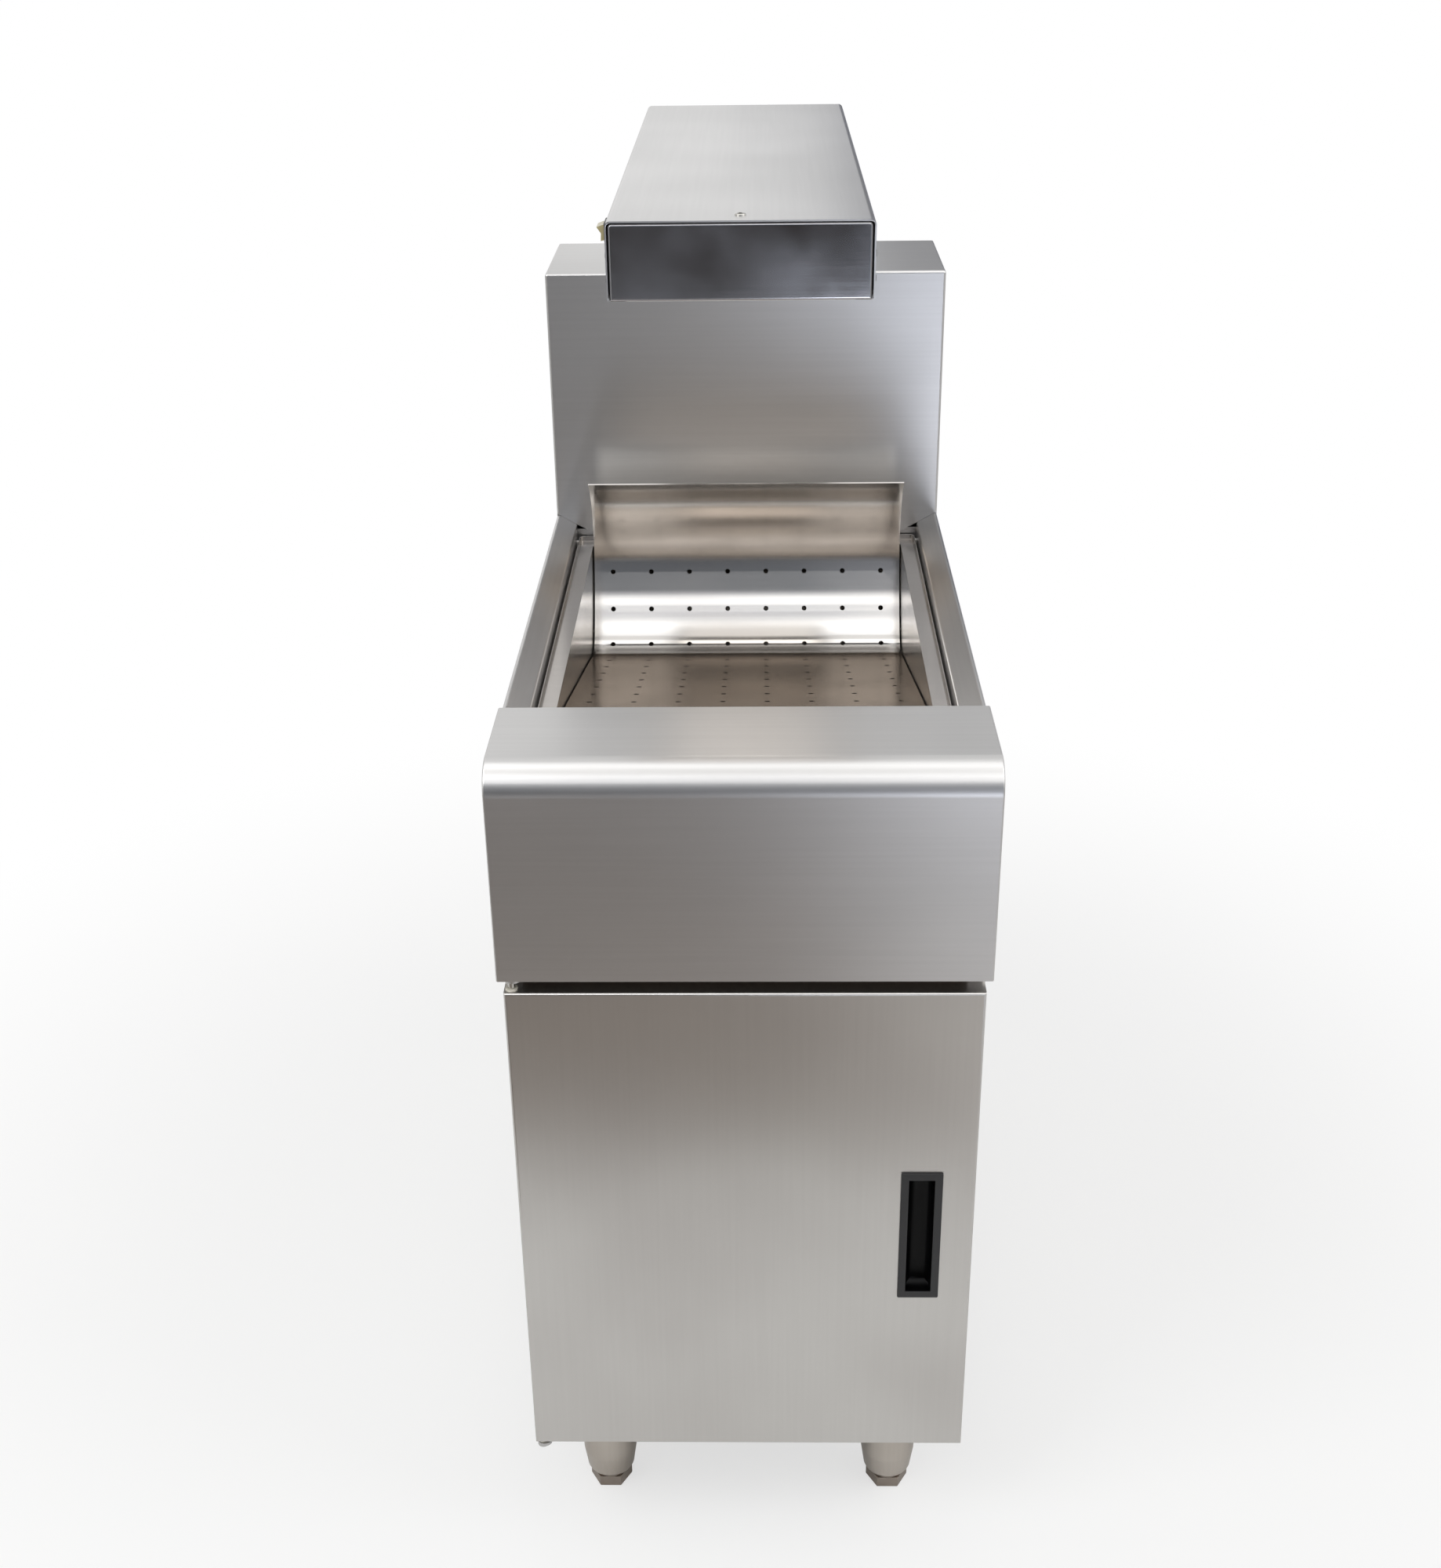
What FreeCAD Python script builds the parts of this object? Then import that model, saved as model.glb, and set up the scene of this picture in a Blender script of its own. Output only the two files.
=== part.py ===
import FreeCAD, Part
import math
import os

# A french fry dump station: a floor cabinet with a door, a drop-in pan with a perforated
# scoop, a backsplash box, and an infrared lamp housing carried over the pan on a column.
# Lengths are in millimetres and angles in degrees. The origin is on the floor under the
# middle of the station, the front faces -Y and +Z is up.

# Overall size
body_width = 389.0           # across the rails, skirts and backsplash
overall_depth = 750.0        # hood face to the heads of the rear screws
shelf_height = 792.0         # floor to the top of the front shelf

# Stock
sheet = 1.2                  # body sheet
heavy_sheet = 1.5            # hood, base tray and crossbar
thin_sheet = 0.8             # reflector and strike plate
plate_stock = 3.0            # hinge plates
fold = 1.6                   # inside radius of an ordinary fold
lift_gap = 0.3               # between a piece that moves and its seat
running_gap = 0.06           # radial, a shaft in its bore
overrun = 6.0                # a cut goes this far past a face

# Front hood
hood_overhang = 2.5          # past the body on each side
hood_depth = 113.8
hood_height = 187.0
hood_bend = 25.0             # outside radius of the bend over the front edge
hood_return = 20.0           # flange along the bottom
hood_rear_lip = 14.0         # flange along the back edge of the shelf
hood_side_round = 1.2

# Cabinet
leg_height = 111.0           # floor to the underside of the base tray
side_flange = 14.5
side_top_drop = 7.0          # side panels end below the fold of the rails
tray_wall = 20.0
tray_round = 4.0
door_gap = 4.0               # back of the door to the front of the cabinet
panel_margin = 4.0           # back panel to the outside of its flanges
crossbar_height = 40.0
crossbar_lip_inset = 4.0
crossbar_foot = 22.0
crossbar_ear_rise = 10.0     # ears start above the foot

# Deck around the pan
rail_width = 20.5            # sloping rail, seen from above
rail_drop = 12.0             # how far the rail slopes down inwards
skirt = 16.0                 # rail flange over the side panel
ledge_depth = 30.3           # shelf top down to the ledge that carries the pan
ledge_width = 14.5
deck_top_gap = 2.0
rear_wall_gap = 5.0

# Backsplash box
splash_depth = 149.8
splash_height = 242.7        # above the shelf
splash_dip = 20.5            # bottom edge of its front panel, below the shelf
splash_dip_run = 16.0        # the edge levels out this far inside the rails
splash_flange = 15.0
splash_round = 2.5
cover_inset = 14.0           # dish of the rear cover, in front of its flange
cover_rim = 24.0             # rear cover rim to its dish
cover_end_gap = 2.0
wire_hole_radius = 16.0

# Screws: domed heads with a short shank
head_radius = 4.2
head_height = 1.6
head_rim_share = 0.4         # straight share of a head's height
head_top_share = 0.6         # radius of its top, as a share of its rim
shank_radius = 2.0
shank_length = 6.0
hood_head_radius = 4.6
hood_head_height = 5.5
hood_screw_count = 3
hood_screw_end = 24.0        # from the side of the hood
hood_screw_inset = 8.0       # behind the hood face
rear_screw_edge = 8.0
panel_screw_rows = 3
cover_screw_rows = 3
screw_end_margin = 30.0

# Drop-in pan
pan_side_gap = 2.0           # pan flange to the rails
pan_front_gap = 1.2          # pan flange to the front wall of the deck
pan_rear_gap = 1.4           # pan flange to the backsplash
pan_flange = 15.0
pan_flange_lip = 5.0         # upturned edge of the flange
pan_depth = 93.6             # top of the flange to the pan floor
pan_corner = 4.0
pan_floor_round = 1.5

# Perforated scoop
scoop_side_gap = 1.5
scoop_tab = 14.0             # flat edge that rests on the pan flange
scoop_tab_inset = 1.5
scoop_tab_past = 1.6         # how far the tab passes the inner edge of the flange
scoop_heel_bend = 25.0       # inside radius at the heel
scoop_heel_back = 66.0       # centre of the heel's bend to the rear wall of the pan
scoop_wall = 84.0            # heel corner to the start of the curl, straight across the hollow
scoop_wall_angle = 60.0      # degrees above level, the mean of the wall
scoop_wall_hollow = 8.0      # degrees from that mean to either half
scoop_waist_bend = 170.0     # inside radius between the halves
scoop_curl_radius = 86.0
scoop_curl_angle = 84.0      # degrees from the mean of the wall to the lip
scoop_lip = 3.0              # straight end of the curl
scoop_hole_radius = 2.5
scoop_hole_columns = 8
scoop_hole_margin = 19.0     # from the sides of the scoop
scoop_wall_rows = 3
scoop_wall_row_pitch = 37.9
scoop_floor_pitch = 39.0
scoop_floor_first_row = 53.0  # heel corner to the first row of the bottom
scoop_floor_last_row = 30.0   # least distance from the last row to the tab

# Door
door_side_gap = 5.0          # door edge to the side of the hood
door_top_gap = 11.2          # below the hood
door_bottom_gap = 2.8        # above the underside of the cabinet
door_thickness = 18.0
door_round = 2.5

# Door hinge
hinge_side = 6.0             # pin axis to the left edge of the door
hinge_back = 8.0             # pin axis to the face of the door
pin_radius = 3.0
bush_wall = 1.1
bush_length = 16.0
bush_rim_radius = 5.0
bush_rim = 2.5               # under the door
bush_top_rim = 1.25
pin_engagement = 14.0
pin_end_height = 3.0         # pin head under the lower plate
pin_end_radius = 5.0
pin_end_round = 1.0
strap_width = 13.0
strap_shift = 1.5            # middle of the strap, inwards from the pin
bottom_strap_length = 58.0   # behind the door face
plate_corner = 3.0

# Door catch
catch_edge = 42.1            # its middle to the side panel
catch_drop = 16.0            # below the door's top edge
catch_width = 46.0
catch_height = 14.0
catch_gap = 0.5
catch_corner = 1.5
strike_width = 40.0
strike_height = 16.0

# Door handle
handle_edge = 45.0           # its middle to the right edge of the door
handle_drop = 242.3          # its middle below the top of the door
handle_width = 35.0
handle_length = 132.0
bezel_proud = 2.0
bezel_round = 1.5
bezel_edge = 1.0
cup_wall = 2.5
cup_depth = 12.0             # door face to the bottom of the finger cup
recess_width = 21.5
recess_length = 118.0
recess_mouth_round = 1.5

# Legs and feet
leg_side_inset = 62.5        # from the side of the body
leg_inset = 75.0             # from the hood face, and from the rear
leg_radius = 25.0
leg_wall = 2.0
leg_toe_radius = 22.0
leg_toe_height = 19.0        # above the floor, where the taper ends
leg_taper_height = 40.0      # above the floor, where the taper starts
leg_lip_radius = 17.5
leg_nut_height = 12.0
leg_plate_size = 72.0
leg_plate_thickness = 2.0
leg_plate_corner = 8.0
leg_bolt_spacing = 56.0
leg_bolt_head = 4.0
leg_bolt_radius = 5.0
foot_hex_width = 34.0        # across the flats
foot_hex_height = 12.0
foot_edge = 2.0
stem_radius = 8.0
stem_length = 46.0

# Lamp housing
lamp_width = 196.0
lamp_height = 58.0
lamp_clearance = 77.3        # top of the backsplash to the underside of the lamp
lamp_front_inset = 123.0     # behind the hood face
lamp_fold = 3.0
lamp_lip = 12.0
cap_inset = 1.5
cap_gap = 0.6
cap_depth = 26.0
cap_thickness = 1.5
cap_round = 3.0
lamp_screw_back = 21.0       # behind the front edge of the housing
lamp_screw_low = 12.0        # above the bottom of the housing
lamp_screw_high = 30.0
lamp_plate_lap = 7.0         # in front of the column

# Lamp column
column_side_inset = 18.0     # inside the lamp's sides
column_front_gap = 18.8      # its flange to the front of the backsplash
column_back_gap = 17.0
column_flange = 12.0
column_screw_inset = 6.0

# Reflector, element and guard
reflector_gap = 4.0          # from the front cap
reflector_rise = 41.0        # above its flanges
reflector_side_gap = 4.0     # its flanges to the lamp's sides
reflector_flange = 16.0
reflector_lean = 38.0        # how far each side leans in
element_radius = 4.0
element_half_pitch = 24.0
element_depth = 20.0         # axis below the top of the reflector
element_front_gap = 26.0
element_tail = 24.0          # past the rear wall of the reflector
bracket_count = 3
bracket_width = 70.0
bracket_below = 9.0          # below the element's axis
bracket_thickness = 1.5
bracket_clearance = 0.1
rod_radius = 1.5
rod_bite = 0.3               # how far crossing rods are pressed into each other
guard_pitch = 24.0
guard_side_gap = 6.0         # rod ends to the lamp's sides
guard_rails = 4
guard_rail_inset = 26.0      # from the rod ends
guard_end_gap = 10.0

# Rocker switch on the left of the lamp
switch_back = 39.0           # behind the front edge of the housing
switch_height = 44.6         # above the bottom of the housing
switch_bezel_length = 21.0
switch_bezel_height = 15.0
switch_bezel_thickness = 2.5
switch_bezel_round = 1.0
switch_body_wall = 0.9
switch_body_depth = 18.0
rocker_length = 16.6
rocker_radius = 5.5
rocker_depth = 3.4           # behind its pivot
rocker_rise = 4.2            # its ends in front of the pivot
rocker_waist = 2.4           # its middle in front of the pivot
rocker_half = 5.2
rocker_tilt = 16.0           # degrees each way
switch_pocket_depth = 7.0

# Terminal block
terminal_length = 62.0
terminal_width = 22.0
terminal_height = 17.0
terminal_ways = 3
terminal_slot = 11.0
terminal_slot_depth = 7.0
terminal_back_gap = 32.0     # from the rear cap

# Cable gland in the rear cover
gland_height = 60.0          # above the shelf
gland_hex_width = 24.0
gland_hex_thickness = 5.0
gland_dome_length = 6.0
gland_dome_round = 2.0
gland_dome_radius = 9.5
gland_thread_radius = 8.0
gland_thread_length = 13.0
gland_bore_radius = 4.0
gland_nut_thickness = 4.0

# Main planes, worked out from the sizes above
front = -(overall_depth + bezel_proud) / 2 + bezel_proud
rear = front + overall_depth
rear_skin = rear - head_height
shelf = shelf_height
hood_back = front + hood_depth
hood_bottom = shelf - hood_height
half_body = body_width / 2
half_hood = half_body + hood_overhang
side_outer = half_body - sheet
side_inner = side_outer - sheet
cabinet_front = front + door_thickness + door_gap
cabinet_bottom = leg_height
well_half = half_body - rail_width
ledge_top = shelf - ledge_depth
splash_front = rear_skin - splash_depth
splash_top = shelf + splash_height
deck_front = hood_back + sheet
deck_rear = splash_front + sheet
door_half = half_hood - door_side_gap
door_top = hood_bottom - door_top_gap
door_bottom = cabinet_bottom + door_bottom_gap
hinge_x = -door_half + hinge_side
hinge_y = front + hinge_back
handle_offset = door_half - handle_edge
handle_height = door_top - handle_drop
catch_offset = side_inner - catch_edge
pan_half = well_half - pan_side_gap
pan_front = deck_front + pan_front_gap
pan_rear = splash_front - pan_rear_gap
pan_inner_half = pan_half - pan_flange
pan_flange_top = ledge_top + lift_gap + sheet
pan_floor = pan_flange_top - pan_depth
lamp_half = lamp_width / 2
lamp_bottom = splash_top + lamp_clearance
lamp_top = lamp_bottom + lamp_height
lamp_front = front + lamp_front_inset
lamp_seat = lamp_bottom + sheet
column_half = lamp_half - column_side_inset
column_front = splash_front + column_front_gap + column_flange
column_rear = rear_skin - column_back_gap - column_flange
plate_front = column_front - lamp_plate_lap
reflector_front = lamp_front + cap_inset + cap_depth + reflector_gap
reflector_rear = plate_front - lift_gap


def vector(x, y, z=0.0):
    return FreeCAD.Vector(x, y, z)


def box(x0, x1, y0, y1, z0, z1):
    return Part.makeBox(x1 - x0, y1 - y0, z1 - z0, vector(x0, y0, z0))


def fuse(shapes):
    """One solid from several that touch or overlap."""
    return shapes[0].multiFuse(shapes[1:]).removeSplitter()


def mirrored(shape):
    """The same piece on the other side of the middle plane."""
    return shape.mirror(vector(0, 0, 0), vector(1, 0, 0))


def fillet_where(shape, radius, wanted):
    """Round the edges that the test picks."""
    return shape.makeFillet(radius, [edge for edge in shape.Edges if wanted(edge)])


def runs_along(edge, axis):
    """True for a straight edge along the named axis."""
    start = edge.Vertexes[0].Point
    end = edge.Vertexes[-1].Point
    step = end.sub(start)
    return step.Length > 0 and abs(abs(getattr(step, axis)) - step.Length) < 1e-6 * step.Length


def edge_at(edge, axis, place):
    """True for an edge that lies wholly in a plane across the named axis."""
    return all(abs(getattr(vertex.Point, axis) - place) < 1e-6 * lamp_top for vertex in edge.Vertexes)


def in_space(plane, flat, along):
    """A point of an outline, put into space; the outline lies across the remaining axis."""
    if plane == "yz":
        return vector(along, flat.x, flat.y)
    if plane == "xz":
        return vector(flat.x, along, flat.y)
    return vector(flat.x, flat.y, along)


def extruded(plane, edges, start, end):
    """A solid between two places along the axis across the plane."""
    face = Part.Face(Part.Wire(Part.__sortEdges__(edges)))
    return face.extrude(in_space(plane, vector(0, 0), end - start))


def prism(plane, points, start, end):
    """A solid with a straight-sided outline."""
    corners = [in_space(plane, vector(*point), start) for point in points]
    edges = [Part.makeLine(a, b) for a, b in zip(corners, corners[1:] + corners[:1])]
    return extruded(plane, edges, start, end)


def left_of(step):
    return vector(-step.y, step.x).normalize()


def folded_face(points, bends, offset, thickness):
    """One face of a folded strip: straight runs joined by arcs, as lists of their points."""
    runs = []
    first_step = points[1].sub(points[0])
    here = points[0].add(left_of(first_step).multiply(offset))
    for before, corner, after, bend in zip(points, points[1:], points[2:], bends):
        step_in = corner.sub(before).normalize()
        step_out = after.sub(corner).normalize()
        turn = math.atan2(step_in.cross(step_out).z, step_in.dot(step_out))
        side = math.copysign(1.0, turn)
        radius = bend + thickness if turn > 0 else bend
        setback = radius * math.tan(abs(turn) / 2)
        start = corner.sub(vector(step_in.x, step_in.y).multiply(setback))
        centre = start.add(left_of(step_in).multiply(side * radius))
        arc_radius = radius - side * offset
        outwards = corner.sub(centre).normalize()
        arc_start = start.add(left_of(step_in).multiply(offset))
        arc_end = corner.add(step_out.multiply(setback)).add(left_of(after.sub(corner)).multiply(offset))
        runs.append([here, arc_start])
        runs.append([arc_start, centre.add(outwards.multiply(arc_radius)), arc_end])
        here = arc_end
    last_step = points[-1].sub(points[-2])
    runs.append([here, points[-1].add(left_of(last_step).multiply(offset))])
    return runs


def folded_sheet(plane, points, bends, thickness, start, end):
    """A folded strip. The points run along one face and the metal lies to their left."""
    corners = [vector(*point) for point in points]
    near = folded_face(corners, bends, 0.0, thickness)
    far = folded_face(corners, bends, thickness, thickness)
    ends = [[near[0][0], far[0][0]], [near[-1][-1], far[-1][-1]]]
    edges = []
    for run in near + far + ends:
        placed = [in_space(plane, point, start) for point in run]
        edges.append(Part.Arc(*placed).toShape() if len(placed) == 3 else Part.makeLine(*placed))
    return extruded(plane, edges, start, end)


def cylinder(radius, start, end):
    """A round bar between two points."""
    axis = end.sub(start)
    return Part.makeCylinder(radius, axis.Length, start, axis)


def hexagon(width_across, start, height):
    """A hexagonal prism standing on a point along +Z."""
    corner_radius = width_across / math.sqrt(3)
    corners = [(start.x + corner_radius * math.cos(math.radians(60 * side)),
                start.y + corner_radius * math.sin(math.radians(60 * side))) for side in range(6)]
    return prism("xy", corners, start.z, start.z + height)


def domed_screw(seat, outwards, radius=head_radius, height=head_height, depth=shank_length):
    """A screw with a domed head on the seat and its shank behind it."""
    rim_height = height * head_rim_share
    rim_top = seat.add(vector(outwards.x, outwards.y, outwards.z).multiply(rim_height))
    crown = Part.makeCone(radius, radius * head_top_share, height - rim_height, rim_top, outwards)
    head = Part.makeCylinder(radius, rim_height, seat, outwards).fuse(crown)
    inwards = vector(-outwards.x, -outwards.y, -outwards.z)
    return head.fuse(Part.makeCylinder(shank_radius, depth, seat, inwards)).removeSplitter()


def spread(count, first, last):
    """Evenly spaced places from first to last."""
    return [first + (last - first) * index / (count - 1) for index in range(count)]


def save(name, shapes):
    """Write one node; a group of separate solids is a compound."""
    solids = [solid for shape in shapes for solid in shape.Solids]
    node = solids[0] if len(solids) == 1 else Part.makeCompound(solids)
    node.exportStep(os.path.join("parts", name + ".step"))
    print(name, len(solids), "solids,", round(sum(solid.Volume for solid in solids) / 1000, 2), "cm3")


# Fasteners, listed as (seat, outward direction)
def hood_screw_seats():
    last = half_hood - hood_screw_end
    return [vector(x, front + hood_screw_inset, hood_bottom) for x in spread(hood_screw_count, -last, last)]


def rear_seats(rows):
    """Screw seats down both rear edges."""
    x_edge = side_outer - rear_screw_edge
    return [vector(side * x_edge, rear_skin, z) for side in (-1, 1) for z in rows]


def panel_screw_seats():
    first = cabinet_bottom + screw_end_margin
    return rear_seats(spread(panel_screw_rows, first, shelf - skirt - screw_end_margin))


def cover_screw_seats():
    return rear_seats(spread(cover_screw_rows, shelf + screw_end_margin / 2, splash_top - screw_end_margin))


def column_screw_seats():
    x_edge = column_half + column_screw_inset
    rows = [column_front - column_screw_inset, column_rear + column_screw_inset]
    return [vector(side * x_edge, y, splash_top + sheet) for side in (-1, 1) for y in rows]


def lamp_screw_seats():
    y = lamp_front + lamp_screw_back
    seats = [(vector(0, y, lamp_top), vector(0, 0, 1))]
    for side in (-1, 1):
        for height in (lamp_screw_low, lamp_screw_high):
            seats.append((vector(side * lamp_half, y, lamp_bottom + height), vector(side, 0, 0)))
    return seats


def drilled(shape, seats, outwards):
    """Clearance holes for screws."""
    for seat in seats:
        start = seat.add(vector(*outwards).multiply(overrun))
        end = seat.sub(vector(*outwards).multiply(overrun))
        shape = shape.cut(cylinder(shank_radius, start, end))
    return shape


# Cabinet
def make_base_tray():
    y0 = cabinet_front + sheet
    y1 = rear_skin - 2 * sheet
    outer = box(-side_inner, side_inner, y0, y1, cabinet_bottom, cabinet_bottom + tray_wall)
    outer = fillet_where(outer, tray_round, lambda edge: edge_at(edge, "z", cabinet_bottom) or
                         runs_along(edge, "z"))
    inner = box(-side_inner + sheet, side_inner - sheet, y0 + sheet, y1 - sheet,
                cabinet_bottom + heavy_sheet, cabinet_bottom + tray_wall + overrun)
    floor = cabinet_bottom + heavy_sheet
    inner = fillet_where(inner, tray_round - sheet, lambda edge: edge_at(edge, "z", floor) or
                         runs_along(edge, "z"))
    return outer.cut(inner)


def make_side_panel():
    """The left side: a panel with its front and rear edges folded inwards."""
    x_flange = -side_outer + side_flange
    points = [(x_flange, rear_skin), (-side_outer, rear_skin),
              (-side_outer, cabinet_front), (x_flange, cabinet_front)]
    panel = folded_sheet("xy", points, [fold, fold], sheet, cabinet_bottom, shelf - side_top_drop)
    under_shelf = box(-half_body, 0, cabinet_front - overrun, hood_back + overrun,
                      shelf - hood_rear_lip - deck_top_gap, shelf)
    panel = panel.cut(under_shelf)
    corner = sheet + fold
    for y0, y1 in ((splash_front, splash_front + corner), (rear_skin - corner - sheet, rear_skin + overrun)):
        panel = panel.cut(box(-half_body, 0, y0, y1, shelf - skirt, shelf))
    return drilled(panel, panel_screw_seats(), (0, 1, 0))


def make_back_panel():
    x_edge = side_outer - panel_margin
    panel = box(-x_edge, x_edge, rear_skin - 2 * sheet, rear_skin - sheet,
                cabinet_bottom + sheet, shelf - skirt - lift_gap)
    return drilled(panel, panel_screw_seats(), (0, 1, 0))


def make_crossbar():
    """A Z-shaped bar behind the top of the door; its lip lies inside the hood."""
    half = side_outer - side_flange
    web = cabinet_front + sheet
    top = hood_bottom + heavy_sheet
    foot = top - crossbar_height
    points = [(front + crossbar_lip_inset, top), (web, top), (web, foot), (web + crossbar_foot, foot)]
    bar = folded_sheet("yz", points, [fold, fold], heavy_sheet, -half, half)
    reach = side_inner - fold
    ears = box(-reach, reach, web, web + heavy_sheet, foot + crossbar_ear_rise, top - fold - heavy_sheet)
    return drilled(fuse([bar, ears]), hood_screw_seats(), (0, 0, 1))


def make_deck():
    """Sloping side rails over a ledge that goes all round the opening."""
    x_ledge = -well_half + ledge_width
    rail_points = [(x_ledge, ledge_top), (-well_half, ledge_top), (-well_half, shelf - rail_drop),
                   (-half_body, shelf), (-half_body, shelf - skirt)]
    rail = folded_sheet("xz", rail_points, [fold, fold, fold], sheet, hood_back, splash_front)
    half = well_half + sheet
    front_points = [(deck_front + ledge_width, ledge_top), (deck_front, ledge_top),
                    (deck_front, shelf - heavy_sheet - deck_top_gap)]
    front_bar = folded_sheet("yz", front_points, [fold], sheet, -half, half)
    rear_points = [(deck_rear, shelf - rail_drop - rear_wall_gap), (deck_rear, ledge_top),
                   (deck_rear - ledge_width - sheet, ledge_top)]
    rear_bar = folded_sheet("yz", rear_points, [fold], sheet, -half, half)
    return fuse([rail, mirrored(rail), front_bar, rear_bar])


def make_hood():
    """A rounded shelf and apron with closed ends."""
    half = half_hood
    outer = box(-half, half, front, hood_back, hood_bottom, shelf)
    outer = fillet_where(outer, hood_bend, lambda edge: edge_at(edge, "y", front) and
                         edge_at(edge, "z", shelf))
    outer = fillet_where(outer, hood_side_round, lambda edge: edge_at(edge, "x", half) and
                         not edge_at(edge, "y", hood_back) and not edge_at(edge, "z", hood_bottom))
    outer = fillet_where(outer, hood_side_round, lambda edge: edge_at(edge, "x", -half) and
                         not edge_at(edge, "y", hood_back) and not edge_at(edge, "z", hood_bottom))
    inner = box(-half + heavy_sheet, half - heavy_sheet, front + heavy_sheet, hood_back - heavy_sheet,
                hood_bottom + heavy_sheet, shelf - heavy_sheet)
    inner = fillet_where(inner, hood_bend - heavy_sheet,
                         lambda edge: edge_at(edge, "y", front + heavy_sheet) and
                         edge_at(edge, "z", shelf - heavy_sheet))
    back_mouth = box(-half + heavy_sheet, half - heavy_sheet, hood_back - heavy_sheet - overrun,
                     hood_back + overrun, hood_bottom - overrun, shelf - hood_rear_lip)
    floor_mouth = box(-half + heavy_sheet, half - heavy_sheet, front + hood_return, hood_back + overrun,
                      hood_bottom - overrun, hood_bottom + heavy_sheet + overrun)
    hood = outer.cut(inner).cut(back_mouth).cut(floor_mouth)
    return drilled(hood, hood_screw_seats(), (0, 0, 1))


# Backsplash
def make_splash_shell():
    """Front, sides and top of the box behind the pan, with rear flanges."""
    x_flange = half_body - splash_flange
    plan = [(-x_flange, rear_skin), (-half_body, rear_skin), (-half_body, splash_front),
            (half_body, splash_front), (half_body, rear_skin), (x_flange, rear_skin)]
    walls = folded_sheet("xy", plan, [fold] * 4, sheet, shelf - splash_dip, splash_top)
    lid = box(-half_body, half_body, splash_front, rear_skin, splash_top - sheet, splash_top)
    corners = box(-half_body, half_body, splash_front, rear_skin, shelf - splash_dip, splash_top)
    corners = fillet_where(corners, splash_round, lambda edge: edge_at(edge, "z", splash_top) or
                           runs_along(edge, "z"))
    shell = fuse([walls, lid]).common(corners)
    dip_half = well_half - splash_dip_run
    below_rails = [(-half_body - overrun, shelf), (-half_body, shelf), (-well_half, shelf - rail_drop),
                   (-dip_half, shelf - splash_dip), (-dip_half, shelf - splash_dip - overrun),
                   (-half_body - overrun, shelf - splash_dip - overrun)]
    rail_cut = prism("xz", below_rails, splash_front - overrun, splash_front + sheet)
    side_cut = box(-half_body - overrun, half_body + overrun, splash_front + sheet, rear_skin + overrun,
                   shelf - splash_dip - overrun, shelf - skirt)
    middle = (column_front + column_rear) / 2
    wire_hole = cylinder(wire_hole_radius, vector(0, middle, splash_top - overrun),
                         vector(0, middle, splash_top + overrun))
    shell = shell.cut(rail_cut).cut(mirrored(rail_cut)).cut(side_cut).cut(wire_hole)
    shell = drilled(shell, cover_screw_seats(), (0, 1, 0))
    return drilled(shell, column_screw_seats(), (0, 0, 1))


def make_rear_cover():
    """A cover whose middle is dished in, so that the cable gland stays inside the outline."""
    x_edge = half_body - panel_margin
    x_dish = x_edge - cover_rim
    rim = rear_skin - sheet
    dish = rim - cover_inset
    plan = [(x_edge, rim), (x_dish, rim), (x_dish, dish), (-x_dish, dish), (-x_dish, rim), (-x_edge, rim)]
    z0 = shelf - skirt
    z1 = splash_top - sheet - cover_end_gap
    cover = folded_sheet("xy", plan, [fold] * 4, sheet, z0, z1)
    ends = [box(-x_dish, x_dish, dish - sheet, rim, z, z + sheet) for z in (z0, z1 - sheet)]
    hole = cylinder(gland_thread_radius, vector(0, dish - overrun, shelf + gland_height),
                    vector(0, dish + overrun, shelf + gland_height))
    return drilled(fuse([cover] + ends).cut(hole), cover_screw_seats(), (0, 1, 0))


def gland_face():
    return rear_skin - sheet - cover_inset


def make_gland():
    """The cable inlet: a hexagon and a domed nut outside the cover, a thread through it."""
    z = shelf + gland_height
    face = gland_face()
    bodies = [hexagon(gland_hex_width, vector(0, 0, 0), gland_hex_thickness)]
    crown = gland_hex_thickness + gland_dome_length
    dome = Part.makeCylinder(gland_dome_radius, gland_dome_length, vector(0, 0, gland_hex_thickness))
    dome = fillet_where(dome, gland_dome_round, lambda edge: edge_at(edge, "z", crown) and edge.Closed)
    thread = Part.makeCylinder(gland_thread_radius, gland_thread_length, vector(0, 0, 0), vector(0, 0, -1))
    body = fuse(bodies + [dome, thread])
    body = body.cut(cylinder(gland_bore_radius, vector(0, 0, -gland_thread_length - overrun),
                             vector(0, 0, crown + overrun)))
    body.rotate(vector(0, 0, 0), vector(1, 0, 0), -90)
    body.translate(vector(0, face, z))
    return body


def make_gland_nut():
    nut = hexagon(gland_hex_width, vector(0, 0, 0), gland_nut_thickness)
    nut = nut.cut(cylinder(gland_thread_radius, vector(0, 0, -overrun),
                           vector(0, 0, overrun + gland_nut_thickness)))
    nut.rotate(vector(0, 0, 0), vector(1, 0, 0), 90)
    nut.translate(vector(0, gland_face() - sheet, shelf + gland_height))
    return nut


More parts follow.
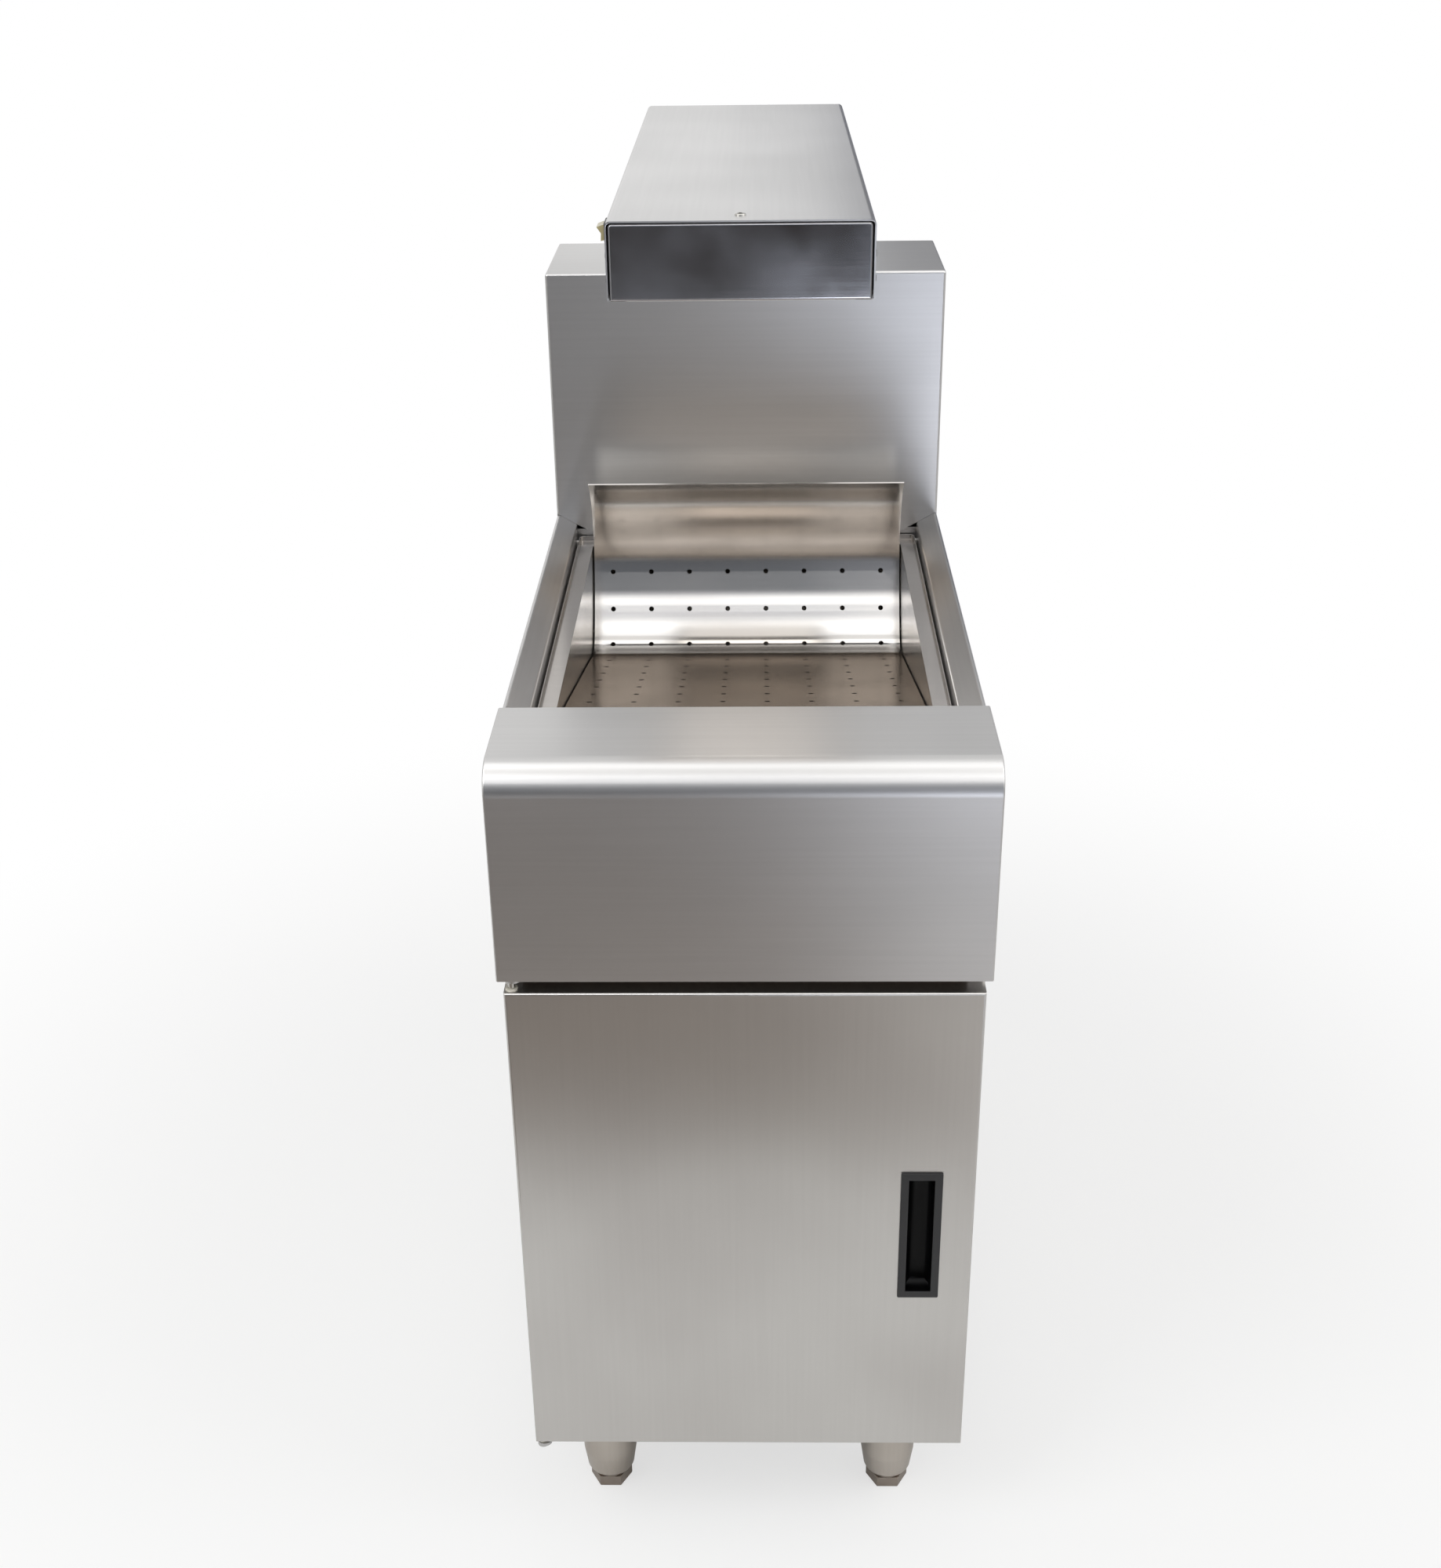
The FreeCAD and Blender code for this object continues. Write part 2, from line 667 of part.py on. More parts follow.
# Pan and scoop
def make_pan():
    """A drop-in well with a flange round it and an upturned edge on the flange."""
    y_in0 = pan_front + pan_flange
    y_in1 = pan_rear - pan_flange
    underside = pan_flange_top - sheet
    well_out = box(-pan_inner_half - sheet, pan_inner_half + sheet, y_in0 - sheet, y_in1 + sheet,
                   pan_floor - sheet, pan_flange_top)
    well_out = fillet_where(well_out, pan_corner + sheet, lambda edge: runs_along(edge, "z"))
    well_out = fillet_where(well_out, pan_floor_round + sheet,
                            lambda edge: edge_at(edge, "z", pan_floor - sheet))
    well_in = box(-pan_inner_half, pan_inner_half, y_in0, y_in1, pan_floor, pan_flange_top + overrun)
    well_in = fillet_where(well_in, pan_corner, lambda edge: runs_along(edge, "z"))
    well_in = fillet_where(well_in, pan_floor_round, lambda edge: edge_at(edge, "z", pan_floor))
    rim_out = box(-pan_half, pan_half, pan_front, pan_rear, underside, pan_flange_top + pan_flange_lip)
    rim_out = fillet_where(rim_out, pan_corner, lambda edge: runs_along(edge, "z"))
    rim_in = box(-pan_half + sheet, pan_half - sheet, pan_front + sheet, pan_rear - sheet,
                 pan_flange_top, pan_flange_top + pan_flange_lip + overrun)
    rim_in = fillet_where(rim_in, pan_corner - sheet, lambda edge: runs_along(edge, "z"))
    return fuse([rim_out.cut(rim_in), well_out]).cut(well_in)


def step_along(place, angle, run):
    """The (y, z) point at a distance from another, at an angle above level."""
    return place.add(vector(math.cos(angle), math.sin(angle)).multiply(run))


def scoop_wall_halves():
    """The angles of the hollow wall's lower and upper half, and the length of each."""
    hollow = math.radians(scoop_wall_hollow)
    mean = math.radians(scoop_wall_angle)
    return mean - hollow, mean + hollow, scoop_wall / 2 / math.cos(hollow)


def scoop_profile():
    """The underside of the scoop as (y, z) points, the bend at each corner, and the slope of its bottom.

    The bottom runs from the tab, touching the heel's bend, whose lowest point is just over the pan's floor.
    """
    lower, upper, half_wall = scoop_wall_halves()
    lip = math.radians(scoop_wall_angle + scoop_curl_angle)
    heel_radius = scoop_heel_bend + sheet
    tab_z = pan_flange_top + lift_gap
    tab_front = pan_front + scoop_tab_inset + sheet
    tab_end = tab_front + scoop_tab + scoop_tab_past
    centre = vector(pan_rear - pan_flange - scoop_heel_back, pan_floor + lift_gap + heel_radius)
    reach = centre.sub(vector(tab_end, tab_z))
    slope = math.atan2(reach.y, reach.x) - math.asin(heel_radius / reach.Length)
    across_heel = (slope + lower) / 2 - math.radians(90)
    heel = step_along(centre, across_heel, heel_radius / math.cos((lower - slope) / 2))
    waist = step_along(heel, lower, half_wall)
    setback = scoop_curl_radius * math.tan((lip - upper) / 2)
    curl = step_along(waist, upper, half_wall + setback)
    end = step_along(curl, lip, setback + scoop_lip)
    points = [(tab_front, tab_z), (tab_end, tab_z)] + [(place.x, place.y) for place in (heel, waist, curl, end)]
    return points, [fold, scoop_heel_bend, scoop_waist_bend, scoop_curl_radius - sheet], slope


def scoop_rows(points, slope):
    """A point of each row of holes, with the direction across the sheet there."""
    heel, waist = vector(*points[2]), vector(*points[3])
    lower, upper, half_wall = scoop_wall_halves()
    bottom_length = vector(*points[1]).sub(heel).Length
    rows = []
    for row in range(scoop_wall_rows):
        run = 2 * half_wall - row * scoop_wall_row_pitch
        if run > half_wall:
            rows.append((step_along(waist, upper, run - half_wall), upper))
        else:
            rows.append((step_along(heel, lower, run), lower))
    floor_run = bottom_length - scoop_floor_first_row - scoop_floor_last_row
    for row in range(int(floor_run / scoop_floor_pitch) + 1):
        run = scoop_floor_first_row + row * scoop_floor_pitch
        rows.append((step_along(heel, slope, -run), slope))
    return [(vector(0, place.x, place.y), vector(0, -math.sin(angle), math.cos(angle))) for place, angle in rows]


def make_scoop():
    """A perforated tray: it falls to the back, turns up and curls forward over the food."""
    points, bends, slope = scoop_profile()
    half = pan_inner_half - scoop_side_gap
    scoop = folded_sheet("yz", points, bends, sheet, -half, half)
    last_column = half - scoop_hole_margin
    drills = []
    for place, normal in scoop_rows(points, slope):
        for x in spread(scoop_hole_columns, -last_column, last_column):
            start = vector(x, place.y - normal.y * overrun, place.z - normal.z * overrun)
            drills.append(Part.makeCylinder(scoop_hole_radius, 3 * overrun, start, normal))
    return scoop.cut(Part.makeCompound(drills))


# Door
def make_door_skin():
    """The door face with its four edges folded back."""
    y1 = front + door_thickness
    outer = box(-door_half, door_half, front, y1, door_bottom, door_top)
    outer = fillet_where(outer, door_round, lambda edge: edge_at(edge, "y", front))
    inner = box(-door_half + sheet, door_half - sheet, front + sheet, y1 + overrun,
                door_bottom + sheet, door_top - sheet)
    inner = fillet_where(inner, door_round - sheet, lambda edge: edge_at(edge, "y", front + sheet))
    skin = outer.cut(inner)
    window = box(handle_offset - handle_width / 2 + cup_wall, handle_offset + handle_width / 2 - cup_wall,
                 front - overrun, front + sheet + overrun,
                 handle_height - handle_length / 2 + cup_wall, handle_height + handle_length / 2 - cup_wall)
    bore = cylinder(pin_radius + running_gap + bush_wall, vector(hinge_x, hinge_y, door_bottom - overrun),
                    vector(hinge_x, hinge_y, door_top + overrun))
    return skin.cut(window).cut(bore)


def make_door_liner():
    """The flat inner face of the door, set between its folded edges."""
    y1 = front + door_thickness
    liner = box(-door_half + sheet, door_half - sheet, y1 - sheet, y1, door_bottom + sheet, door_top - sheet)
    return liner


def make_bush(end, into):
    """A flanged bush in the top or bottom edge of the door; into is +1 up or -1 down."""
    axis = vector(0, 0, into)
    seat = vector(hinge_x, hinge_y, end)
    radius = pin_radius + running_gap
    barrel = Part.makeCylinder(radius + bush_wall, bush_length, seat, axis)
    rim_height = bush_rim if into > 0 else bush_top_rim
    rim = Part.makeCylinder(bush_rim_radius, rim_height, seat, vector(0, 0, -into))
    bore = cylinder(radius, vector(hinge_x, hinge_y, end - overrun), vector(hinge_x, hinge_y, end + overrun))
    long_bore = Part.makeCylinder(radius, bush_length + overrun, seat, axis)
    return barrel.fuse(rim).cut(bore).cut(long_bore)


def hinge_strap(z0, strap_end):
    """A narrow plate with a round nose, bored for the hinge pin."""
    nose = strap_width / 2
    middle = hinge_x + strap_shift
    round_end = cylinder(nose, vector(middle, hinge_y, z0), vector(middle, hinge_y, z0 + plate_stock))
    arm = box(middle - nose, middle + nose, hinge_y, strap_end, z0, z0 + plate_stock)
    below = vector(hinge_x, hinge_y, z0 - overrun)
    above = vector(hinge_x, hinge_y, z0 + overrun)
    return fuse([round_end, arm]).cut(cylinder(pin_radius, below, above))


def make_top_hinge_plate():
    """Carries the upper pin, under the hood."""
    return hinge_strap(hood_bottom - plate_stock, front + hood_return)


def make_bottom_hinge_plate():
    """Carries the lower pin and the door's weight, under the base tray."""
    return hinge_strap(cabinet_bottom - plate_stock, front + bottom_strap_length)


def make_top_pin():
    start = vector(hinge_x, hinge_y, hood_bottom)
    return cylinder(pin_radius, start, vector(hinge_x, hinge_y, door_top - pin_engagement))


def make_bottom_pin():
    under = cabinet_bottom - plate_stock
    seat = vector(hinge_x, hinge_y, under)
    shaft = cylinder(pin_radius, seat, vector(hinge_x, hinge_y, door_bottom + pin_engagement))
    end = under - pin_end_height
    head = cylinder(pin_end_radius, vector(hinge_x, hinge_y, end), seat)
    head = fillet_where(head, pin_end_round, lambda edge: edge_at(edge, "z", end) and edge.Closed)
    return shaft.fuse(head).removeSplitter()


def make_catch():
    """A magnetic catch on the crossbar."""
    z1 = door_top - catch_drop
    y0 = front + door_thickness + thin_sheet + catch_gap
    half = catch_width / 2
    case = box(catch_offset - half, catch_offset + half, y0, cabinet_front + sheet, z1 - catch_height, z1)
    return fillet_where(case, catch_corner, lambda edge: runs_along(edge, "y"))


def make_strike():
    z1 = door_top - catch_drop
    y0 = front + door_thickness
    middle = z1 - catch_height / 2
    half = strike_width / 2
    plate = box(catch_offset - half, catch_offset + half, y0, y0 + thin_sheet,
                middle - strike_height / 2, middle + strike_height / 2)
    return fillet_where(plate, plate_corner, lambda edge: runs_along(edge, "y"))


def make_handle():
    """A moulded pull: a frame proud of the door and a rounded finger cup behind it."""
    half = handle_width / 2
    reach = handle_length / 2
    face = front - bezel_proud
    frame = box(handle_offset - half, handle_offset + half, face, front,
                handle_height - reach, handle_height + reach)
    frame = fillet_where(frame, bezel_round, lambda edge: runs_along(edge, "y"))
    frame = fillet_where(frame, bezel_edge, lambda edge: edge_at(edge, "y", face))
    cup_half = half - cup_wall - lift_gap
    cup_reach = reach - cup_wall - lift_gap
    cup = box(handle_offset - cup_half, handle_offset + cup_half, front, front + cup_depth + cup_wall,
              handle_height - cup_reach, handle_height + cup_reach)
    cup = fillet_where(cup, bezel_round, lambda edge: edge_at(edge, "y", front + cup_depth + cup_wall) or
                       runs_along(edge, "y"))
    recess = box(handle_offset - recess_width / 2, handle_offset + recess_width / 2, face - overrun,
                 front + cup_depth, handle_height - recess_length / 2, handle_height + recess_length / 2)
    recess = fillet_where(recess, recess_mouth_round, lambda edge: runs_along(edge, "y"))
    recess = fillet_where(recess, recess_mouth_round, lambda edge: edge_at(edge, "y", front + cup_depth))
    return fuse([frame, cup]).cut(recess)


# Legs and feet
def leg_places():
    """(name, x, y) of each leg."""
    places = []
    for row, y in (("front", front + leg_inset), ("rear", rear_skin - leg_inset)):
        for side, sign in (("left", -1), ("right", 1)):
            places.append((row + "_" + side, sign * (half_body - leg_side_inset), y))
    return places


def revolved(points, x, y):
    """A turned piece about the vertical through (x, y); the points are (radius, height)."""
    corners = [vector(x + radius, y, z) for radius, z in points]
    edges = [Part.makeLine(a, b) for a, b in zip(corners, corners[1:] + corners[:1])]
    face = Part.Face(Part.Wire(edges))
    return face.revolve(vector(x, y, 0), vector(0, 0, 1), 360)


def make_leg(x, y):
    top = cabinet_bottom - leg_plate_thickness
    bottom = foot_hex_height + lift_gap
    bore = stem_radius + running_gap
    points = [(bore, bottom), (leg_lip_radius, bottom), (leg_toe_radius, leg_toe_height),
              (leg_radius, leg_taper_height), (leg_radius, top), (leg_radius - leg_wall, top),
              (leg_radius - leg_wall, leg_taper_height), (leg_toe_radius - leg_wall, bottom + leg_nut_height),
              (bore, bottom + leg_nut_height)]
    return revolved(points, x, y)


def make_foot(x, y):
    """A hexagonal foot with a stem that screws up into the leg."""
    hexagon_body = hexagon(foot_hex_width, vector(x, y, 0), foot_hex_height)
    corner_radius = foot_hex_width / math.sqrt(3)
    turned = revolved([(0, 0), (corner_radius - foot_edge, 0), (corner_radius, foot_edge),
                       (corner_radius, foot_hex_height), (0, foot_hex_height)], x, y)
    stem = cylinder(stem_radius, vector(x, y, foot_hex_height), vector(x, y, foot_hex_height + stem_length))
    return hexagon_body.common(turned).fuse(stem).removeSplitter()


def make_leg_plate(x, y):
    half = leg_plate_size / 2
    plate = box(x - half, x + half, y - half, y + half, cabinet_bottom - leg_plate_thickness, cabinet_bottom)
    return fillet_where(plate, leg_plate_corner, lambda edge: runs_along(edge, "z"))


def make_leg_bolts(x, y):
    half = leg_bolt_spacing / 2
    seat = cabinet_bottom - leg_plate_thickness
    return [cylinder(leg_bolt_radius, vector(x + a * half, y + b * half, seat - leg_bolt_head),
                     vector(x + a * half, y + b * half, seat)) for a in (-1, 1) for b in (-1, 1)]


# Lamp
def make_column():
    """A rectangular tube with a foot flange, from the backsplash up to the lamp."""
    half = column_half
    outer = box(-half, half, column_front, column_rear, splash_top, lamp_seat)
    outer = fillet_where(outer, fold + sheet, lambda edge: runs_along(edge, "z"))
    inner = box(-half + sheet, half - sheet, column_front + sheet, column_rear - sheet,
                splash_top - overrun, lamp_seat + overrun)
    inner = fillet_where(inner, fold, lambda edge: runs_along(edge, "z"))
    foot = box(-half - column_flange, half + column_flange, column_front - column_flange,
               column_rear + column_flange, splash_top, splash_top + sheet)
    foot = fillet_where(foot, plate_corner, lambda edge: runs_along(edge, "z"))
    return drilled(outer.fuse(foot).cut(inner).removeSplitter(), column_screw_seats(), (0, 0, 1))


def make_lamp_shell():
    """The housing: top and sides in one fold, with lips along the bottom edges."""
    x_lip = lamp_half - lamp_lip
    points = [(x_lip, lamp_bottom), (lamp_half, lamp_bottom), (lamp_half, lamp_top),
              (-lamp_half, lamp_top), (-lamp_half, lamp_bottom), (-x_lip, lamp_bottom)]
    bends = [fold, lamp_fold, lamp_fold, fold]
    shell = folded_sheet("xz", points, bends, sheet, lamp_front, rear_skin)
    inside = lamp_half - sheet
    front_mouth = box(-inside, inside, lamp_front - overrun, lamp_front + cap_inset + cap_depth + cap_gap,
                      lamp_bottom - overrun, lamp_bottom + sheet + fold)
    rear_mouth = box(-inside, inside, rear_skin - cap_inset - cap_depth - cap_gap, rear_skin + overrun,
                     lamp_bottom - overrun, lamp_bottom + sheet + fold)
    y, z = switch_place()
    body_half = switch_body_half()
    window = box(-lamp_half - overrun, -lamp_half + overrun, y - body_half[0], y + body_half[0],
                 z - body_half[1], z + body_half[1])
    shell = shell.cut(front_mouth).cut(rear_mouth).cut(window)
    for seat, outwards in lamp_screw_seats():
        shell = drilled(shell, [seat], (outwards.x, outwards.y, outwards.z))
    return shell


def make_lamp_cap(at_front):
    """An end cap: a face set just inside the housing, with flanges behind it."""
    half = lamp_half - sheet - cap_gap
    z0 = lamp_bottom
    z1 = lamp_top - sheet - cap_gap
    y0 = lamp_front + cap_inset if at_front else rear_skin - cap_inset - cap_depth
    y1 = y0 + cap_depth
    face = y0 if at_front else y1
    outer = box(-half, half, y0, y1, z0, z1)
    outer = fillet_where(outer, cap_round, lambda edge: runs_along(edge, "y") and edge_at(edge, "z", z1))
    outer = fillet_where(outer, cap_thickness / 2, lambda edge: edge_at(edge, "y", face))
    deep0 = y0 + cap_thickness if at_front else y0 - overrun
    deep1 = y1 + overrun if at_front else y1 - cap_thickness
    inner = box(-half + cap_thickness, half - cap_thickness, deep0, deep1,
                z0 + cap_thickness, z1 - cap_thickness)
    cap = outer.cut(inner)
    for seat, outwards in lamp_screw_seats():
        cap = drilled(cap, [seat], (outwards.x, outwards.y, outwards.z))
    return cap


def make_lamp_plate():
    """The floor of the rear of the lamp, on the housing's lips and the column."""
    half = lamp_half - sheet - fold - cap_gap
    y1 = rear_skin - cap_inset - cap_depth - cap_gap
    plate = box(-half, half, plate_front, y1, lamp_seat, lamp_seat + heavy_sheet)
    middle = (column_front + column_rear) / 2
    return plate.cut(cylinder(wire_hole_radius, vector(0, middle, lamp_seat - overrun),
                              vector(0, middle, lamp_seat + overrun)))


def make_reflector():
    """An upturned trough over the element, closed at both ends."""
    y0, y1 = reflector_front, reflector_rear
    rim = lamp_half - reflector_side_gap
    mouth = rim - reflector_flange
    top = mouth - reflector_lean
    crown = lamp_seat + reflector_rise
    points = [(-rim, lamp_seat), (-mouth, lamp_seat), (-top, crown),
              (top, crown), (mouth, lamp_seat), (rim, lamp_seat)]
    trough = folded_sheet("xz", points, [fold] * 4, thin_sheet, y0, y1)
    end_outline = [(-mouth, lamp_seat), (-top, crown), (top, crown), (mouth, lamp_seat)]
    ends = [prism("xz", end_outline, y, y + thin_sheet) for y in (y0, y1 - thin_sheet)]
    reflector = fuse([trough] + ends)
    for side in (-1, 1):
        x = side * element_half_pitch
        z = crown - element_depth
        reflector = reflector.cut(cylinder(element_radius + bracket_clearance, vector(x, y1 - overrun, z),
                                           vector(x, y1 + overrun, z)))
    return reflector


def make_element():
    """A tubular heater bent into a hairpin, its two tails in the terminal space."""
    z = lamp_seat + reflector_rise - element_depth
    y_bend = reflector_front + element_front_gap + element_half_pitch
    y_tail = reflector_rear + element_tail
    left = vector(-element_half_pitch, y_tail, z)
    left_bend = vector(-element_half_pitch, y_bend, z)
    nose = vector(0, y_bend - element_half_pitch, z)
    right_bend = vector(element_half_pitch, y_bend, z)
    right = vector(element_half_pitch, y_tail, z)
    path = Part.Wire([Part.makeLine(left, left_bend), Part.Arc(left_bend, nose, right_bend).toShape(),
                      Part.makeLine(right_bend, right)])
    ring = Part.Wire(Part.makeCircle(element_radius, left, vector(0, 1, 0)))
    return path.makePipe(Part.Face(ring))


def make_brackets():
    """Hangers that hold the element under the crown of the reflector."""
    crown = lamp_seat + reflector_rise
    z = crown - element_depth
    half = bracket_width / 2
    brackets = []
    first = reflector_front + element_front_gap + 2 * element_half_pitch
    for y in spread(bracket_count, first, reflector_rear - element_front_gap):
        plate = box(-half, half, y, y + bracket_thickness, z - bracket_below, crown)
        plate = fillet_where(plate, plate_corner, lambda edge: runs_along(edge, "y") and
                             edge_at(edge, "z", z - bracket_below))
        for side in (-1, 1):
            x = side * element_half_pitch
            plate = plate.cut(cylinder(element_radius + bracket_clearance, vector(x, y - overrun, z),
                                       vector(x, y + overrun, z)))
        brackets.append(plate)
    return brackets


def make_guard():
    """A grille of crossed rods under the mouth of the lamp."""
    z = lamp_bottom - rod_radius
    half = lamp_half - guard_side_gap
    first = reflector_front + guard_end_gap
    last = reflector_rear - guard_end_gap
    count = int((last - first) / guard_pitch) + 1
    rods = [cylinder(rod_radius, vector(-half, y, z), vector(half, y, z)) for y in spread(count, first, last)]
    rail_z = z - 2 * rod_radius + rod_bite
    edge = half - guard_rail_inset
    for x in spread(guard_rails, -edge, edge):
        start = vector(x, reflector_front, rail_z)
        rods.append(cylinder(rod_radius, start, vector(x, reflector_rear, rail_z)))
    return rods[0].multiFuse(rods[1:])


# Switch
def switch_place():
    """(y, z) of the middle of the switch."""
    return lamp_front + switch_back, lamp_bottom + switch_height


def switch_pocket_half():
    """Half length and half height of the pocket for the rocker."""
    return rocker_length / 2 + lift_gap, rocker_radius + lift_gap


def switch_body_half():
    length, height = switch_pocket_half()
    return length + switch_body_wall, height + switch_body_wall


def make_switch_body():
    """A bezel on the lamp's left side and a body behind it, with a pocket for the rocker."""
    y, z = switch_place()
    half = switch_body_half()
    pocket = switch_pocket_half()
    face = -lamp_half - switch_bezel_thickness
    bezel = box(face, -lamp_half, y - switch_bezel_length / 2, y + switch_bezel_length / 2,
                z - switch_bezel_height / 2, z + switch_bezel_height / 2)
    bezel = fillet_where(bezel, switch_bezel_round, lambda edge: edge_at(edge, "x", face) or
                         runs_along(edge, "x"))
    body = box(-lamp_half, -lamp_half + switch_body_depth, y - half[0], y + half[0], z - half[1], z + half[1])
    hollow = box(face - overrun, face + switch_pocket_depth, y - pocket[0], y + pocket[0],
                 z - pocket[1], z + pocket[1])
    return bezel.fuse(body).cut(hollow).removeSplitter()


def make_rocker():
    """A rocker with a waist, drawn level and then tilted so that its upper end stands out."""
    y, z = switch_place()
    face = -lamp_half - switch_bezel_thickness
    back_reach = math.sqrt(rocker_radius ** 2 - rocker_depth ** 2)
    low_tip = vector(face - rocker_rise, 0, z - rocker_half)
    low_edge = vector(face, 0, z - rocker_radius)
    low_back = vector(face + rocker_depth, 0, z - back_reach)
    high_back = vector(face + rocker_depth, 0, z + back_reach)
    high_edge = vector(face, 0, z + rocker_radius)
    high_tip = vector(face - rocker_rise, 0, z + rocker_half)
    waist = vector(face - rocker_waist, 0, z)
    half_turn = math.asin(rocker_depth / rocker_radius) / 2
    bulge_x = face + rocker_radius * math.sin(half_turn)
    bulge_z = rocker_radius * math.cos(half_turn)
    edges = [Part.makeLine(waist, low_tip), Part.makeLine(low_tip, low_edge),
             Part.Arc(low_edge, vector(bulge_x, 0, z - bulge_z), low_back).toShape(),
             Part.makeLine(low_back, high_back),
             Part.Arc(high_back, vector(bulge_x, 0, z + bulge_z), high_edge).toShape(),
             Part.makeLine(high_edge, high_tip), Part.makeLine(high_tip, waist)]
    rocker = Part.Face(Part.Wire(edges)).extrude(vector(0, rocker_length, 0))
    rocker.translate(vector(0, y - rocker_length / 2, 0))
    rocker.rotate(vector(face, y, z), vector(0, 1, 0), -rocker_tilt)
    return rocker


def make_terminal_block():
    """A ceramic block with a screw slot for each wire."""
    half = terminal_length / 2
    y1 = rear_skin - terminal_back_gap
    z0 = lamp_seat + heavy_sheet
    block = box(-half, half, y1 - terminal_width, y1, z0, z0 + terminal_height)
    pitch = terminal_length / terminal_ways
    for way in range(terminal_ways):
        x = -half + pitch * (way + 0.5)
        block = block.cut(box(x - terminal_slot / 2, x + terminal_slot / 2, y1 - terminal_width - overrun,
                              y1 + overrun, z0 + terminal_height - terminal_slot_depth,
                              z0 + terminal_height + overrun))
    return block


os.makedirs("parts", exist_ok=True)

left_side = make_side_panel()
save("base_tray", [make_base_tray()])
save("side_panel_left", [left_side])
save("side_panel_right", [mirrored(left_side)])
save("back_panel", [make_back_panel()])
save("front_crossbar", [make_crossbar()])
save("deck", [make_deck()])
save("front_hood", [make_hood()])
save("hood_screws", [domed_screw(seat, vector(0, 0, -1), hood_head_radius, hood_head_height)
                     for seat in hood_screw_seats()])
save("backsplash_shell", [make_splash_shell()])
save("backsplash_rear_cover", [make_rear_cover()])
save("rear_screws", [domed_screw(seat, vector(0, 1, 0))
                     for seat in panel_screw_seats() + cover_screw_seats()])
save("cable_gland", [make_gland()])
save("gland_nut", [make_gland_nut()])
save("dump_pan", [make_pan()])
save("scoop_insert", [make_scoop()])
save("door_skin", [make_door_skin()])
save("door_liner", [make_door_liner()])
save("door_bushes", [make_bush(door_top, -1), make_bush(door_bottom, 1)])
save("handle_cup", [make_handle()])
save("strike_plate", [make_strike()])
save("catch_magnet", [make_catch()])
save("top_hinge_plate", [make_top_hinge_plate()])
save("bottom_hinge_plate", [make_bottom_hinge_plate()])
save("top_hinge_pin", [make_top_pin()])
save("bottom_hinge_pin", [make_bottom_pin()])
for place, leg_x, leg_y in leg_places():
    save("leg_" + place, [make_leg(leg_x, leg_y)])
    save("foot_" + place, [make_foot(leg_x, leg_y)])
save("leg_plates", [make_leg_plate(x, y) for name, x, y in leg_places()])
save("leg_bolts", [bolt for name, x, y in leg_places() for bolt in make_leg_bolts(x, y)])
save("lamp_column", [make_column()])
save("column_screws", [domed_screw(seat, vector(0, 0, 1)) for seat in column_screw_seats()])
save("lamp_shell", [make_lamp_shell()])
save("lamp_front_cap", [make_lamp_cap(True)])
save("lamp_rear_cap", [make_lamp_cap(False)])
save("lamp_plate", [make_lamp_plate()])
save("lamp_screws", [domed_screw(seat, outwards) for seat, outwards in lamp_screw_seats()])
save("lamp_reflector", [make_reflector()])
save("heating_element", [make_element()])
save("element_brackets", make_brackets())
save("wire_guard", [make_guard()])
save("switch_body", [make_switch_body()])
save("switch_rocker", [make_rocker()])
save("terminal_block", [make_terminal_block()])
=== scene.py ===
import logging
import math
from collections.abc import Iterable, Sequence
from dataclasses import dataclass
from enum import Enum

import bmesh
import bpy
from bmesh.types import BMEdge, BMesh, BMFace, BMVert
from bpy.types import Material, Node, NodeSocket, NodeTree, Object
from mathutils import Matrix, Vector


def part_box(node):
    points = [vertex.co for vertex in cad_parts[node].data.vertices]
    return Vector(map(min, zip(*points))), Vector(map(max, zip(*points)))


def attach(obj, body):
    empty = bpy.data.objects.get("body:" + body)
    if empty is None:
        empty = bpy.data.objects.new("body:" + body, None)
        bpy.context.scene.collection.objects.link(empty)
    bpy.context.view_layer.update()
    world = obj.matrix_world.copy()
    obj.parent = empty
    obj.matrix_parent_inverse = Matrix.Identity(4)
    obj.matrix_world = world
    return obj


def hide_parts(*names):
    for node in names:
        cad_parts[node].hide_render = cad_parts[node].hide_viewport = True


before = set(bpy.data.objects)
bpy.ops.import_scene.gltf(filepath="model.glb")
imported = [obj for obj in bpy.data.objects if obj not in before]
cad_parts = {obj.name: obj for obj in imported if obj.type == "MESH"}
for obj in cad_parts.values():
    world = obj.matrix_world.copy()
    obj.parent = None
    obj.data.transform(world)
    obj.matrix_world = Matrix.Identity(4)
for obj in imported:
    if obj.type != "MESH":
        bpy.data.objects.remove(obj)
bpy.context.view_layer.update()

MM = 0.001                # sizes and meshes are in millimetres, and a finished piece is in metres
NEAR = 1e-3               # two places this close count as one
OVERRUN = 6.0             # a cutter goes this far past a face
UP = Vector((0, 0, 1))
FOLD_FACETS = 5           # of a folded corner of a box
EDGE_FACETS = 3           # of a narrow round, such as a pressed edge
SMALL_BEND = 5.0          # below this radius a bend has the finer facets
FINE_FACET = 3            # degrees of a facet of a small bend, and the fewest facets that it has
PLAIN_FACET = 6           # the same for a larger bend
NOISE_CORE = (0.3, 0.7)   # most values of a noise pattern lie between these
NOISE_REACH = (0.2, 0.8)  # nearly all of them lie between these
MIX_FROM, MIX_TO, MIXED = 6, 7, 2      # a Mix node's sockets for two colours and for their mix
ACROSS_LINES = 0.25       # of a turn, the anisotropic rotation that draws reflections out across the lines

log = logging.getLogger("dump_station")


# Colours and nodes


